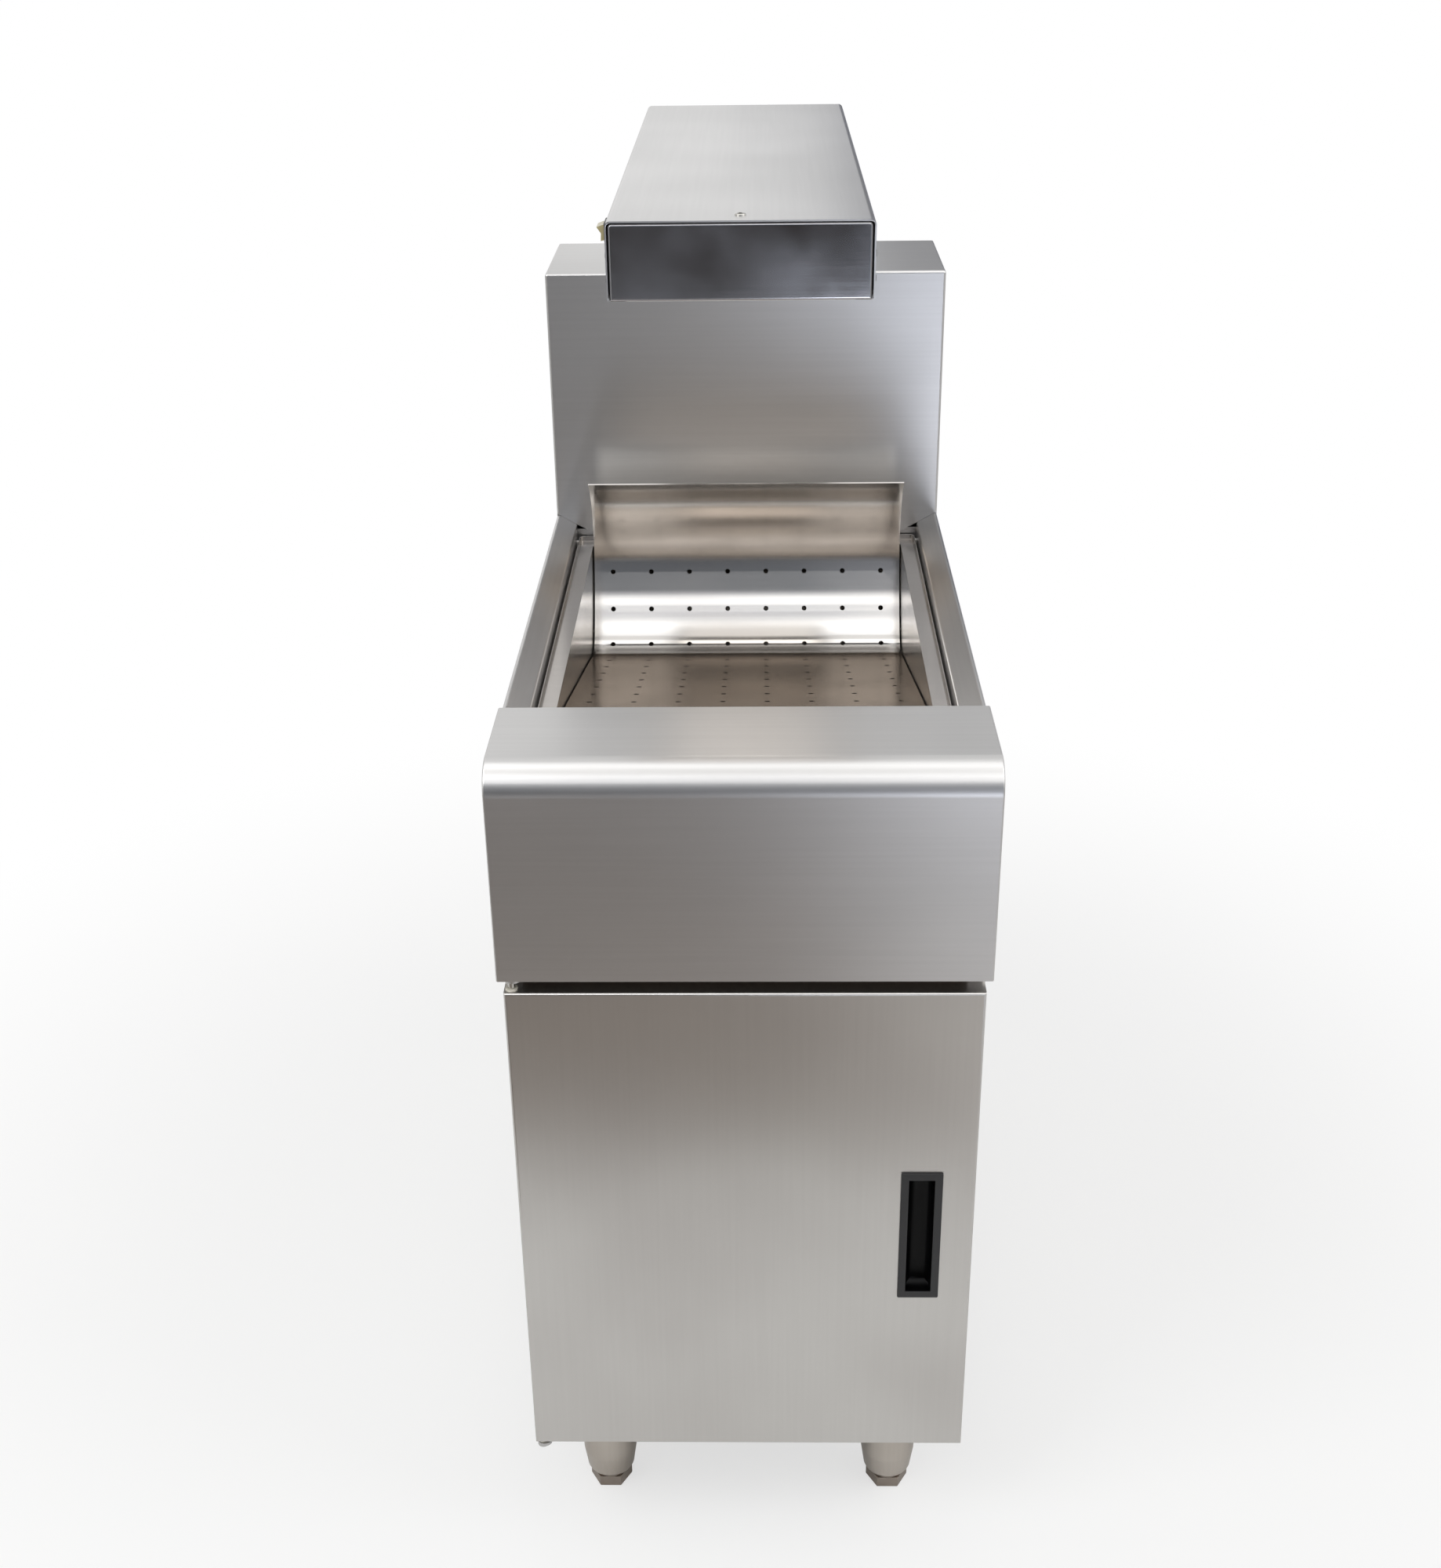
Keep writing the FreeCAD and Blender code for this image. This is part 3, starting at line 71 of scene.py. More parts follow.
def linear(code: str) -> tuple[float, float, float, float]:
    """Turn an sRGB hex colour into the linear colour that a shader takes.

    Args:
        code: Six hex digits, with or without a leading #.

    Returns:
        Linear red, green and blue, and an alpha of 1.
    """
    digits = code.lstrip("#")
    channels = []
    for start in (0, 2, 4):
        value = int(digits[start:start + 2], 16) / 255
        channels.append(value / 12.92 if value <= 0.04045 else ((value + 0.055) / 1.055) ** 2.4)
    return channels[0], channels[1], channels[2], 1.0


def feed(node: Node, inputs: dict[str | int, object]) -> None:
    """Link or set the inputs of a node.

    Args:
        node: The node.
        inputs: A socket to link, or a value to set, for each input by name or number.
    """
    for name, value in inputs.items():
        if isinstance(value, NodeSocket):
            node.id_data.links.new(value, node.inputs[name])
        else:
            node.inputs[name].default_value = value


def add_node(tree: NodeTree, kind: str, settings: dict[str, object] | None = None,
             inputs: dict[str | int, object] | None = None) -> Node:
    """Add a node, with its settings and its inputs.

    Args:
        tree: The node tree that gets the node.
        kind: Blender's name of the node type.
        settings: Values of the node's own properties.
        inputs: A socket to link, or a value to set, for each input by name or number.

    Returns:
        The new node.
    """
    node = tree.nodes.new(kind)
    for name, value in (settings or {}).items():
        setattr(node, name, value)
    feed(node, inputs or {})
    return node


def empty_material(name: str) -> Material:
    """Make a material that has no nodes yet.

    Args:
        name: The material's name.

    Returns:
        The material.
    """
    material = bpy.data.materials.new(name)
    material.use_nodes = True
    material.node_tree.nodes.clear()
    return material


class Axis(Enum):
    """A direction of the frame, as the direction that a metal was polished in."""

    ACROSS = 0
    DEEP = 1
    UPRIGHT = 2


@dataclass(frozen=True)
class Finish:
    """What every finish has: its name and the record's slot that it stands for."""

    name: str
    slot: str

    def material(self) -> Material:
        """Give the finish's material, made the first time that it is asked for.

        Returns:
            The material.
        """
        material = bpy.data.materials.get(self.name)
        if material is None:
            material = empty_material(self.name)
            tree = material.node_tree
            shader = add_node(tree, "ShaderNodeBsdfPrincipled")
            add_node(tree, "ShaderNodeOutputMaterial", inputs={"Surface": shader.outputs["BSDF"]})
            self.dress(tree, shader)
        return material

    def dress(self, tree: NodeTree, shader: Node) -> None:
        """Set the shader up. Each kind of finish has its own way.

        Args:
            tree: The material's nodes.
            shader: The Principled shader of the material.
        """
        raise NotImplementedError


@dataclass(frozen=True)
class PolishedMetal(Finish):
    """Metal polished or rolled in one direction: fine lines, soft clouds, and reflections drawn out."""

    colour: str
    shade: str
    roughness: float
    spread: float = 0.03          # roughness from the clearest place to the dullest
    stretch: float = 0.5
    grain: Axis = Axis.ACROSS
    line_width: float = 3.2       # mm between lines; real ones are 0.1 mm, drawn coarse enough to show
    line_length: float = 160.0
    line_depth: float = 0.01
    line_tone: float = 0.035      # share of the tone that a line takes away
    cloud_size: float = 150.0     # mm across a cloud of handling marks
    smudge_size: float = 38.0
    edge: str = "#ffffff"         # tint of the light that glances off
    smudge_share: float = 0.5     # of the smudges in how clear a place is, beside the clouds
    clearness: tuple[float, float] = (0.2, 1.3)    # at the dullest place and at the clearest
    off_grain: float = 0.02       # keeps the grain's direction from standing square on a face

    def dress(self, tree: NodeTree, shader: Node) -> None:
        """Lines along the grain in bump and tone, clouds and smudges in colour and roughness.

        Args:
            tree: The material's nodes.
            shader: The Principled shader of the material.
        """
        place = add_node(tree, "ShaderNodeTexCoord").outputs["Object"]
        scale = [1 / (self.line_width * MM)] * 3
        scale[self.grain.value] = 1 / (self.line_length * MM)
        along = add_node(tree, "ShaderNodeMapping", inputs={"Vector": place, "Scale": scale})
        lines, clouds, smudges = (
            add_node(tree, "ShaderNodeTexNoise", inputs={
                "Vector": vector, "Scale": density, "Detail": detail, "Roughness": harshness}).outputs["Fac"]
            for vector, density, detail, harshness in (
                (along.outputs["Vector"], 1.0, 1.0, 0.5),
                (place, 1 / (self.cloud_size * MM), 1.0, 0.4),
                (place, 1 / (self.smudge_size * MM), 3.0, 0.5)))
        cloudy = add_node(tree, "ShaderNodeMapRange", {"interpolation_type": "SMOOTHSTEP"}, {
            "Value": clouds, "From Min": NOISE_REACH[0], "From Max": NOISE_REACH[1]})
        tone = add_node(tree, "ShaderNodeMix", {"data_type": "RGBA"}, {
            "Factor": cloudy.outputs["Result"], MIX_FROM: linear(self.shade), MIX_TO: linear(self.colour)})
        streak = add_node(tree, "ShaderNodeMapRange", inputs={
            "Value": lines, "From Min": NOISE_CORE[0], "From Max": NOISE_CORE[1],
            "To Min": 1 - self.line_tone, "To Max": 1.0})
        lined = add_node(tree, "ShaderNodeVectorMath", {"operation": "SCALE"}, {
            0: tone.outputs[MIXED], "Scale": streak.outputs["Result"]})
        clear = add_node(tree, "ShaderNodeMath", {"operation": "MULTIPLY_ADD"}, {
            0: smudges, 1: self.smudge_share, 2: cloudy.outputs["Result"]})
        rough = add_node(tree, "ShaderNodeMapRange", inputs={
            "Value": clear.outputs["Value"], "From Min": self.clearness[0], "From Max": self.clearness[1],
            "To Min": self.roughness + self.spread / 2, "To Max": self.roughness - self.spread / 2})
        bump = add_node(tree, "ShaderNodeBump", inputs={
            "Height": lines, "Strength": 1.0, "Distance": self.line_depth * MM})
        direction = [self.off_grain] * 3
        direction[self.grain.value] = 1.0
        grain = add_node(tree, "ShaderNodeVectorTransform", {
            "vector_type": "VECTOR", "convert_from": "OBJECT", "convert_to": "WORLD"}, {"Vector": direction})
        feed(shader, {
            "Metallic": 1.0, "Specular Tint": linear(self.edge), "Anisotropic": self.stretch,
            "Anisotropic Rotation": ACROSS_LINES, "Base Color": lined.outputs["Vector"],
            "Roughness": rough.outputs["Result"], "Normal": bump.outputs["Normal"],
            "Tangent": grain.outputs["Vector"]})


@dataclass(frozen=True)
class Moulding(Finish):
    """Moulded plastic or pressed ceramic: an even colour, a fine skin texture, small changes of gloss."""

    colour: str
    shade: str
    roughness: float
    ior: float = 1.5
    skin: float = 0.7             # mm between the grains of the mould's texture
    skin_depth: float = 0.01
    skin_strength: float = 0.6
    cloud_size: float = 30.0
    gloss_change: float = 0.05    # of roughness, either way

    def dress(self, tree: NodeTree, shader: Node) -> None:
        """A grained skin in bump, and clouds in colour and roughness.

        Args:
            tree: The material's nodes.
            shader: The Principled shader of the material.
        """
        place = add_node(tree, "ShaderNodeTexCoord").outputs["Object"]
        grains = add_node(tree, "ShaderNodeTexVoronoi", {"feature": "SMOOTH_F1"}, {
            "Vector": place, "Scale": 1 / (self.skin * MM)})
        clouds = add_node(tree, "ShaderNodeTexNoise", inputs={
            "Vector": place, "Scale": 1 / (self.cloud_size * MM), "Detail": 3.0}).outputs["Fac"]
        tone = add_node(tree, "ShaderNodeMix", {"data_type": "RGBA"}, {
            "Factor": clouds, MIX_FROM: linear(self.shade), MIX_TO: linear(self.colour)})
        rough = add_node(tree, "ShaderNodeMapRange", inputs={
            "Value": clouds, "From Min": NOISE_CORE[0], "From Max": NOISE_CORE[1],
            "To Min": self.roughness - self.gloss_change, "To Max": self.roughness + self.gloss_change})
        bump = add_node(tree, "ShaderNodeBump", inputs={
            "Height": grains.outputs["Distance"], "Strength": self.skin_strength,
            "Distance": self.skin_depth * MM})
        feed(shader, {
            "IOR": self.ior, "Base Color": tone.outputs[MIXED], "Roughness": rough.outputs["Result"],
            "Normal": bump.outputs["Normal"]})


# Austenitic stainless sheet with a satin belt polish: soft reflections, drawn out across the lines
SATIN_ACROSS = PolishedMetal("satin_stainless_lines_across", "satin_stainless", "#c9c8c7", "#bfbebd", 0.3,
                             stretch=0.4)
SATIN_DEEP = PolishedMetal("satin_stainless_lines_front_to_back", "satin_stainless", "#c9c8c7", "#bfbebd",
                           0.3, grain=Axis.DEEP)
SATIN_UPRIGHT = PolishedMetal("satin_stainless_lines_upright", "satin_stainless", "#c8c6c3", "#bebbb8", 0.3,
                              grain=Axis.UPRIGHT, line_depth=0.007, line_tone=0.022)
# The pan is pressed from a smoother sheet, which mirrors the scoop beside it
PAN_STEEL = PolishedMetal("bright_rolled_stainless_pan", "satin_stainless", "#bdb9b5", "#b0aba6", 0.2,
                          line_depth=0.005, line_tone=0.03)
# Bright-rolled sheet, polished by the food that slides over it: it mirrors the light in bands
SCOOP_STEEL = PolishedMetal("polished_stainless_scoop", "polished_stainless", "#c9c7c4", "#bfbcb9", 0.15,
                            stretch=0.4, line_depth=0.003, line_tone=0.03)
# The same sheet where food lies on it: duller, and darker and browner than the scoop's wall
SCOOP_FLOOR = PolishedMetal("duller_darker_stainless_scoop_floor", "polished_stainless", "#b8b0a8", "#aaa29a", 0.22,
                            stretch=0.3, line_depth=0.003, cloud_size=60.0, edge="#bdb5ad")
# Mill-finish sheet on inner panels: duller and plainer
MILL_STEEL = PolishedMetal("mill_finish_stainless", "mill_stainless", "#c4c3c2", "#b8b7b6", 0.36,
                           grain=Axis.UPRIGHT, stretch=0.2, line_tone=0.03)
# The same sheet in the gap over the door, painted dark brown as the shade deep in that gap
GAP_SHADE_STEEL = PolishedMetal("mill_stainless_with_painted_gap_shade", "mill_stainless", "#5e544b", "#4a413a", 0.36,
                              stretch=0.2, line_tone=0.03)
# Cold-headed stainless screws and drawn wire
HARDWARE_STEEL = PolishedMetal("bright_stainless_hardware", "steel_hardware", "#c8c7c3", "#b5b3ae", 0.22,
                               stretch=0.1, line_width=1.2, line_length=4.0, cloud_size=12.0, smudge_size=6.0)
# Drawn tube, satin and slightly warm
LEG_STEEL = PolishedMetal("satin_stainless_leg_tube", "leg_steel", "#c2bbb3", "#b3aba2", 0.3,
                          grain=Axis.UPRIGHT, stretch=0.3, cloud_size=60.0)
# Cast stainless foot, greyer than the tube
FOOT_STEEL = PolishedMetal("cast_stainless_foot", "foot_steel", "#a59b92", "#948a81", 0.36,
                           stretch=0.1, line_width=1.2, line_length=4.0, cloud_size=25.0)
# Fingerprinted polished end caps: dull smears on a clear face
CAP_STEEL = PolishedMetal("smeared_stainless_cap", "cap_stainless", "#b9b9bc", "#a9a9ad", 0.15, spread=0.12,
                          stretch=0.2, cloud_size=70.0, smudge_size=16.0)
# Anodised aluminium reflector sheet
REFLECTOR = PolishedMetal("bright_anodised_aluminium", "bright_aluminium", "#e2e3e4", "#d8d9da", 0.16,
                          grain=Axis.DEEP, line_tone=0.02)
# Heater sheath of a nickel alloy, oxidised brown-black by its own heat
SHEATH = PolishedMetal("oxidised_heater_sheath", "element_sheath", "#6a5f57", "#4c443f", 0.5, spread=0.1,
                       stretch=0.0, line_width=1.0, line_length=2.0, cloud_size=30.0)
# Passivated zinc plating: a faint blue and yellow cast
ZINC = PolishedMetal("passivated_zinc_plating", "zinc_steel", "#bfc3c6", "#b9b49c", 0.34, stretch=0.1,
                     line_width=1.5, line_length=6.0, cloud_size=22.0)
# ABS with a fine spark-eroded texture: black with a soft sheen
BLACK_ABS = Moulding("textured_black_abs", "black_plastic", "#212123", "#19191b", 0.42)
# The same ABS inside the pull, near-black and with little reflection: painted shade of the deep finger cup
RECESS_SHADE_ABS = Moulding("black_abs_cup_with_painted_shade", "black_plastic", "#050506", "#030304", 0.36, ior=1.22,
                   skin_depth=0.004)
# Polycarbonate rocker, yellowed with age
IVORY = Moulding("aged_ivory_polycarbonate", "ivory_plastic", "#b3a982", "#a09670", 0.2, ior=1.58, skin=0.5,
                 skin_depth=0.003, cloud_size=7.0)
# Natural polyamide: milky and waxy
NYLON = Moulding("natural_nylon", "nylon", "#dedad0", "#d2cdbf", 0.38, ior=1.53, cloud_size=8.0)
# Steatite, glazed off-white
CERAMIC = Moulding("glazed_steatite", "ceramic", "#e2dccf", "#d8d0c0", 0.2, skin=1.5, skin_depth=0.02)


# Mesh work, in millimetres


def cad_box(node: str) -> tuple[Vector, Vector]:
    """Lowest and highest corner of a CAD node at rest, in millimetres.

    Args:
        node: The node's name.

    Returns:
        The two corners.
    """
    low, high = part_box(node)
    return low / MM, high / MM


def cad_middle(node: str) -> Vector:
    """Middle of a CAD node's box at rest, in millimetres."""
    low, high = cad_box(node)
    return (low + high) / 2


def is_at(vertex: BMVert, **places: float) -> bool:
    """True for a vertex at these places along x, y or z."""
    return all(abs(getattr(vertex.co, axis) - place) < NEAR for axis, place in places.items())


def edges_at(mesh: BMesh, **places: float) -> list[BMEdge]:
    """Edges whose two ends lie at these places along x, y or z."""
    return [edge for edge in mesh.edges if all(is_at(vertex, **places) for vertex in edge.verts)]


def edges_off(edges: Iterable[BMEdge], **places: float) -> list[BMEdge]:
    """Those edges that don't lie wholly at these places along x, y or z."""
    return [edge for edge in edges if not all(is_at(vertex, **places) for vertex in edge.verts)]


def faces_at(mesh: BMesh, **places: float) -> list[BMFace]:
    """Faces that lie wholly at these places along x, y or z."""
    return [face for face in mesh.faces if all(is_at(vertex, **places) for vertex in face.verts)]


def edges_along(mesh: BMesh, axis: str) -> list[BMEdge]:
    """Edges that run along an axis.

    Args:
        mesh: The mesh.
        axis: The axis, x, y or z.

    Returns:
        The edges.
    """
    found = []
    for edge in mesh.edges:
        step = edge.verts[1].co - edge.verts[0].co
        if abs(abs(getattr(step, axis)) - step.length) < NEAR * step.length:
            found.append(edge)
    return found


def vertices_of(drawn: Iterable[object]) -> list[BMVert]:
    """The vertices among what an operator gave back."""
    return [item for item in drawn if isinstance(item, BMVert)]


def turn_to(direction: Sequence[float]) -> Matrix:
    """The turn from +Z to a direction."""
    return UP.rotation_difference(Vector(direction)).to_matrix().to_4x4()


def drop_faces(mesh: BMesh, faces: Iterable[BMFace]) -> None:
    """Delete faces and what only they used."""
    bmesh.ops.delete(mesh, geom=list(faces), context="FACES")


def block(low: Sequence[float], high: Sequence[float]) -> BMesh:
    """A box between two corners.

    Args:
        low: The corner with the lowest x, y and z.
        high: The corner with the highest.

    Returns:
        The box.
    """
    mesh = bmesh.new()
    bmesh.ops.create_cube(mesh, size=1.0)
    low, high = Vector(low), Vector(high)
    bmesh.ops.scale(mesh, vec=high - low, verts=mesh.verts)
    bmesh.ops.translate(mesh, vec=(low + high) / 2, verts=mesh.verts)
    return mesh


def bevel(mesh: BMesh, edges: Iterable[BMEdge], radius: float, segments: int = 4) -> None:
    """Round edges with true arcs.

    Args:
        mesh: The mesh that they belong to.
        edges: The edges.
        radius: How far from each edge the round starts.
        segments: Facets of each round.
    """
    bmesh.ops.bevel(mesh, geom=list(edges), offset=radius, offset_type="OFFSET", segments=segments,
                    profile=0.5, affect="EDGES", clamp_overlap=True, material=-1)


def split_faces(mesh: BMesh, faces: Iterable[BMFace], place: Sequence[float],
                outwards: Sequence[float]) -> list[BMFace]:
    """Cut faces in two along a plane.

    Args:
        mesh: The mesh that they belong to.
        faces: The faces to cut.
        place: A point of the plane.
        outwards: The direction across the plane.

    Returns:
        The faces that lie past the plane.
    """
    faces = list(faces)
    edges = {edge for face in faces for edge in face.edges}
    corners = {vertex for face in faces for vertex in face.verts}
    cut = bmesh.ops.bisect_plane(mesh, geom=faces + list(edges) + list(corners), plane_co=place,
                                 plane_no=outwards)
    return [item for item in cut["geom"] if isinstance(item, BMFace)
            and (item.calc_center_median() - Vector(place)).dot(Vector(outwards)) > NEAR]


def shell(mesh: BMesh) -> BMesh:
    """Merge a mesh's doubles and turn its faces outwards, before it gets its thickness.

    Args:
        mesh: The mesh, which is changed in place.

    Returns:
        The same mesh.
    """
    bmesh.ops.remove_doubles(mesh, verts=mesh.verts, dist=NEAR)
    bmesh.ops.recalc_face_normals(mesh, faces=mesh.faces)
    return mesh


class Plane(Enum):
    """The plane that an outline is drawn in, as the places of its two axes and of the axis across it."""

    SIDE = (1, 2, 0)      # y, z, drawn out along x
    FRONT = (0, 2, 1)     # x, z, drawn out along y

    def point(self, flat: Sequence[float], along: float) -> Vector:
        """The place in space of a point of the outline.

        Args:
            flat: The point's two places in the plane.
            along: Its place across the plane.

        Returns:
            The place.
        """
        place = Vector((0.0, 0.0, 0.0))
        for axis, value in zip(self.value, (*flat, along)):
            place[axis] = value
        return place


def strip(plane: Plane, corners: Sequence[Sequence[float]], bends: Sequence[float], sheet: float,
          start: float, end: float) -> BMesh:
    """One face of a folded strip of sheet. The metal lies to the left of the corners, behind the faces.

    Args:
        plane: The plane of the outline.
        corners: The outline's corners, in order.
        bends: Inside radius of the fold at each corner between the first and the last.
        sheet: Thickness of the metal.
        start: Where the strip starts, across the plane.
        end: Where it ends.

    Returns:
        The face, without its thickness.
    """
    mesh = bmesh.new()
    near = [mesh.verts.new(plane.point(corner, start)) for corner in corners]
    line = [mesh.edges.new(pair) for pair in zip(near, near[1:])]
    far = vertices_of(bmesh.ops.extrude_edge_only(mesh, edges=line)["geom"])
    bmesh.ops.translate(mesh, vec=plane.point((0, 0), end - start), verts=far)
    mesh.faces.ensure_lookup_table()
    step = Vector(corners[1]) - Vector(corners[0])
    left = plane.point((-step.y, step.x), 0.0)
    first = next(face for face in mesh.faces if near[0] in face.verts)
    first.normal_update()
    if first.normal.dot(left) > 0:
        bmesh.ops.reverse_faces(mesh, faces=mesh.faces)
    folds = []
    for index in range(1, len(corners) - 1):
        before = Vector(corners[index]) - Vector(corners[index - 1])
        after = Vector(corners[index + 1]) - Vector(corners[index])
        turn = math.atan2(before.x * after.y - before.y * after.x, before.dot(after))
        radius = bends[index - 1] + (sheet if turn > 0 else 0.0)
        fold = next(edge for edge in near[index].link_edges if edge.other_vert(near[index]) in far)
        folds.append((fold, radius * math.tan(abs(turn) / 2), abs(turn), radius))
    for fold, setback, turn, radius in folds:
        facet = FINE_FACET if radius < SMALL_BEND else PLAIN_FACET
        bevel(mesh, [fold], setback, max(facet, round(math.degrees(turn) / facet)))
    return mesh


def outline_solid(plane: Plane, corners: Sequence[Sequence[float]], start: float, end: float) -> BMesh:
    """A solid with a straight-sided outline, drawn out across its plane.

    Args:
        plane: The plane of the outline.
        corners: The outline's corners, in order.
        start: Where the solid starts, across the plane.
        end: Where it ends.

    Returns:
        The solid.
    """
    mesh = bmesh.new()
    face = mesh.faces.new([mesh.verts.new(plane.point(corner, start)) for corner in corners])
    far = vertices_of(bmesh.ops.extrude_face_region(mesh, geom=[face], use_keep_orig=True)["geom"])
    bmesh.ops.translate(mesh, vec=plane.point((0, 0), end - start), verts=far)
    return shell(mesh)


def turned(profile: Sequence[tuple[float, float]], steps: int) -> BMesh:
    """A turned piece about the vertical through the origin.

    Args:
        profile: (radius, height) of each corner of the profile.
        steps: Facets round it.

    Returns:
        The turned mesh.
    """
    mesh = bmesh.new()
    line = [mesh.verts.new((radius, 0.0, height)) for radius, height in profile]
    edges = [mesh.edges.new(pair) for pair in zip(line, line[1:])]
    bmesh.ops.spin(mesh, geom=line + edges, cent=(0, 0, 0), axis=(0, 0, 1), angle=math.tau, steps=steps,
                   use_merge=True, use_duplicate=False)
    return shell(mesh)


def bar(radius: float, start: Sequence[float], end: Sequence[float], sides: int = 24) -> BMesh:
    """A round bar between two points.

    Args:
        radius: The bar's radius.
        start: The middle of one end.
        end: The middle of the other.
        sides: Facets round it.

    Returns:
        The bar.
    """
    mesh = bmesh.new()
    start, end = Vector(start), Vector(end)
    bmesh.ops.create_cone(mesh, cap_ends=True, segments=sides, radius1=radius, radius2=radius,
                          depth=(end - start).length,
                          matrix=Matrix.Translation((start + end) / 2) @ turn_to(end - start))
    return mesh


def joined(meshes: Iterable[BMesh]) -> BMesh:
    """Put several meshes into one, without merging them.

    Args:
        meshes: The meshes, which are used up.

    Returns:
        The one mesh.
    """
    whole = bmesh.new()
    for mesh in meshes:
        carrier = bpy.data.meshes.new("carrier")
        mesh.to_mesh(carrier)
        mesh.free()
        whole.from_mesh(carrier)
        bpy.data.meshes.remove(carrier)
    return whole


def mirrored(mesh: BMesh) -> BMesh:
    """A copy on the other side of the middle plane.

    Args:
        mesh: The mesh to copy.

    Returns:
        The copy.
    """
    copy = mesh.copy()
    bmesh.ops.scale(copy, vec=(-1, 1, 1), verts=copy.verts)
    bmesh.ops.reverse_faces(copy, faces=copy.faces)
    return copy


def moved(mesh: BMesh, place: Sequence[float], outwards: Sequence[float] = (0, 0, 1)) -> BMesh:
    """A copy turned from +Z to a direction and put at a place.

    Args:
        mesh: The mesh to copy.
        place: Where its origin goes.
        outwards: Where its +Z points.

    Returns:
        The copy.
    """
    copy = mesh.copy()
    bmesh.ops.transform(copy, matrix=Matrix.Translation(Vector(place)) @ turn_to(outwards), verts=copy.verts)
    return copy


def spread(count: int, first: float, last: float) -> list[float]:
    """Evenly spaced places from first to last."""
    return [first + (last - first) * index / (count - 1) for index in range(count)]


@dataclass
class Piece:
    """One visible piece: what it is called, rides on, is finished with and stands for."""

    name: str
    body: str
    finish: Finish
    replaces: Sequence[str]
    sheet: float = 0.0            # thickness, put on behind the faces
    edge_round: float = 0.25
    sharp: float = 40.0           # degrees; a larger angle stays an edge
    crease: float = 40.0          # degrees; from here on an edge is shaded as an edge
    second: Finish | None = None  # of the faces whose material index is 1

    def make(self, mesh: BMesh, cutters: Sequence[BMesh] = ()) -> None:
        """Turn mesh work into the finished piece on its body.

        Args:
            mesh: The faces, in millimetres.
            cutters: Closed meshes whose space is taken out of the piece.
        """
        piece = self.object_of(mesh, self.name)
        if self.sheet:
            self.modify(piece, "sheet", "SOLIDIFY", thickness=self.sheet * MM, offset=-1.0,
                        use_even_offset=True, use_quality_normals=True)
        tools = [self.object_of(cutter, self.name + "_cutter") for cutter in cutters]
        for tool in tools:
            self.modify(piece, "cut", "BOOLEAN", operation="DIFFERENCE", solver="EXACT", object=tool)
        if self.edge_round:
            self.modify(piece, "edges", "BEVEL", width=self.edge_round * MM, segments=2, limit_method="ANGLE",
                        angle_limit=math.radians(self.sharp), use_clamp_overlap=True, harden_normals=False)
        self.freeze(piece)
        for tool in tools:
            bpy.data.objects.remove(tool)
        piece.data.shade_smooth()
        piece.data.set_sharp_from_angle(angle=math.radians(self.crease))
        self.modify(piece, "flat_faces", "WEIGHTED_NORMAL", keep_sharp=True)
        self.freeze(piece)
        for finish in (self.finish, self.second):
            if finish:
                piece.data.materials.append(finish.material())
        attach(piece, self.body)
        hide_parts(*self.replaces)
        log.info("%s: %d faces on %s", self.name, len(piece.data.polygons), self.body)

    @staticmethod
    def modify(piece: Object, name: str, kind: str, **settings: object) -> None:
        """Add a modifier to an object and set it.

        Args:
            piece: The object.
            name: The modifier's name.
            kind: Blender's name of the modifier type.
            **settings: Values of the modifier's properties.
        """
        modifier = piece.modifiers.new(name, kind)
        for setting, value in settings.items():
            setattr(modifier, setting, value)

    @staticmethod
    def object_of(mesh: BMesh, name: str) -> Object:
        """Link mesh work, scaled to metres, as an object.

        Args:
            mesh: The faces, in millimetres, which are used up.
            name: The object's name.

        Returns:
            The object.
        """
        bmesh.ops.scale(mesh, vec=(MM, MM, MM), verts=mesh.verts)
        data = bpy.data.meshes.new(name)
        mesh.to_mesh(data)
        mesh.free()
        made = bpy.data.objects.new(name, data)
        bpy.context.scene.collection.objects.link(made)
        return made

    @staticmethod
    def freeze(piece: Object) -> None:
        """Take the result of an object's modifiers as its mesh.

        Args:
            piece: The object.
        """
        depsgraph = bpy.context.evaluated_depsgraph_get()
        final = bpy.data.meshes.new_from_object(piece.evaluated_get(depsgraph), preserve_all_data_layers=True,
                                                depsgraph=depsgraph)
        old = piece.data
        piece.modifiers.clear()
        piece.data = final
        final.name = piece.name
        bpy.data.meshes.remove(old)


# The sub-assemblies


@dataclass
class FrontHood:
    """The rounded shelf and the apron under it, folded from one sheet."""

    sheet: float = 1.5
    bend: float = 25.0
    bend_facets: int = 18
    side_round: float = 1.6
    bottom_return: float = 20.0
    rear_lip: float = 14.0

    def build(self) -> None:
        """Make the folded sheet."""
        low, high = cad_box("front_hood")
        mesh = block(low, high)
        bevel(mesh, edges_at(mesh, y=low.y, z=high.z), self.bend, self.bend_facets)
        for side in (low.x, high.x):
            bevel(mesh, edges_off(edges_off(edges_at(mesh, x=side), y=high.y), z=low.z), self.side_round)
        open_rear = split_faces(mesh, faces_at(mesh, y=high.y), (0, 0, high.z - self.rear_lip), (0, 0, -1))
        drop_faces(mesh, open_rear)
        open_floor = split_faces(mesh, faces_at(mesh, z=low.z), (0, low.y + self.bottom_return, 0), (0, 1, 0))
        drop_faces(mesh, open_floor)
        Piece("hood_folded_sheet", "cabinet", SATIN_ACROSS, ["front_hood"], self.sheet,
              edge_round=0.3).make(shell(mesh))


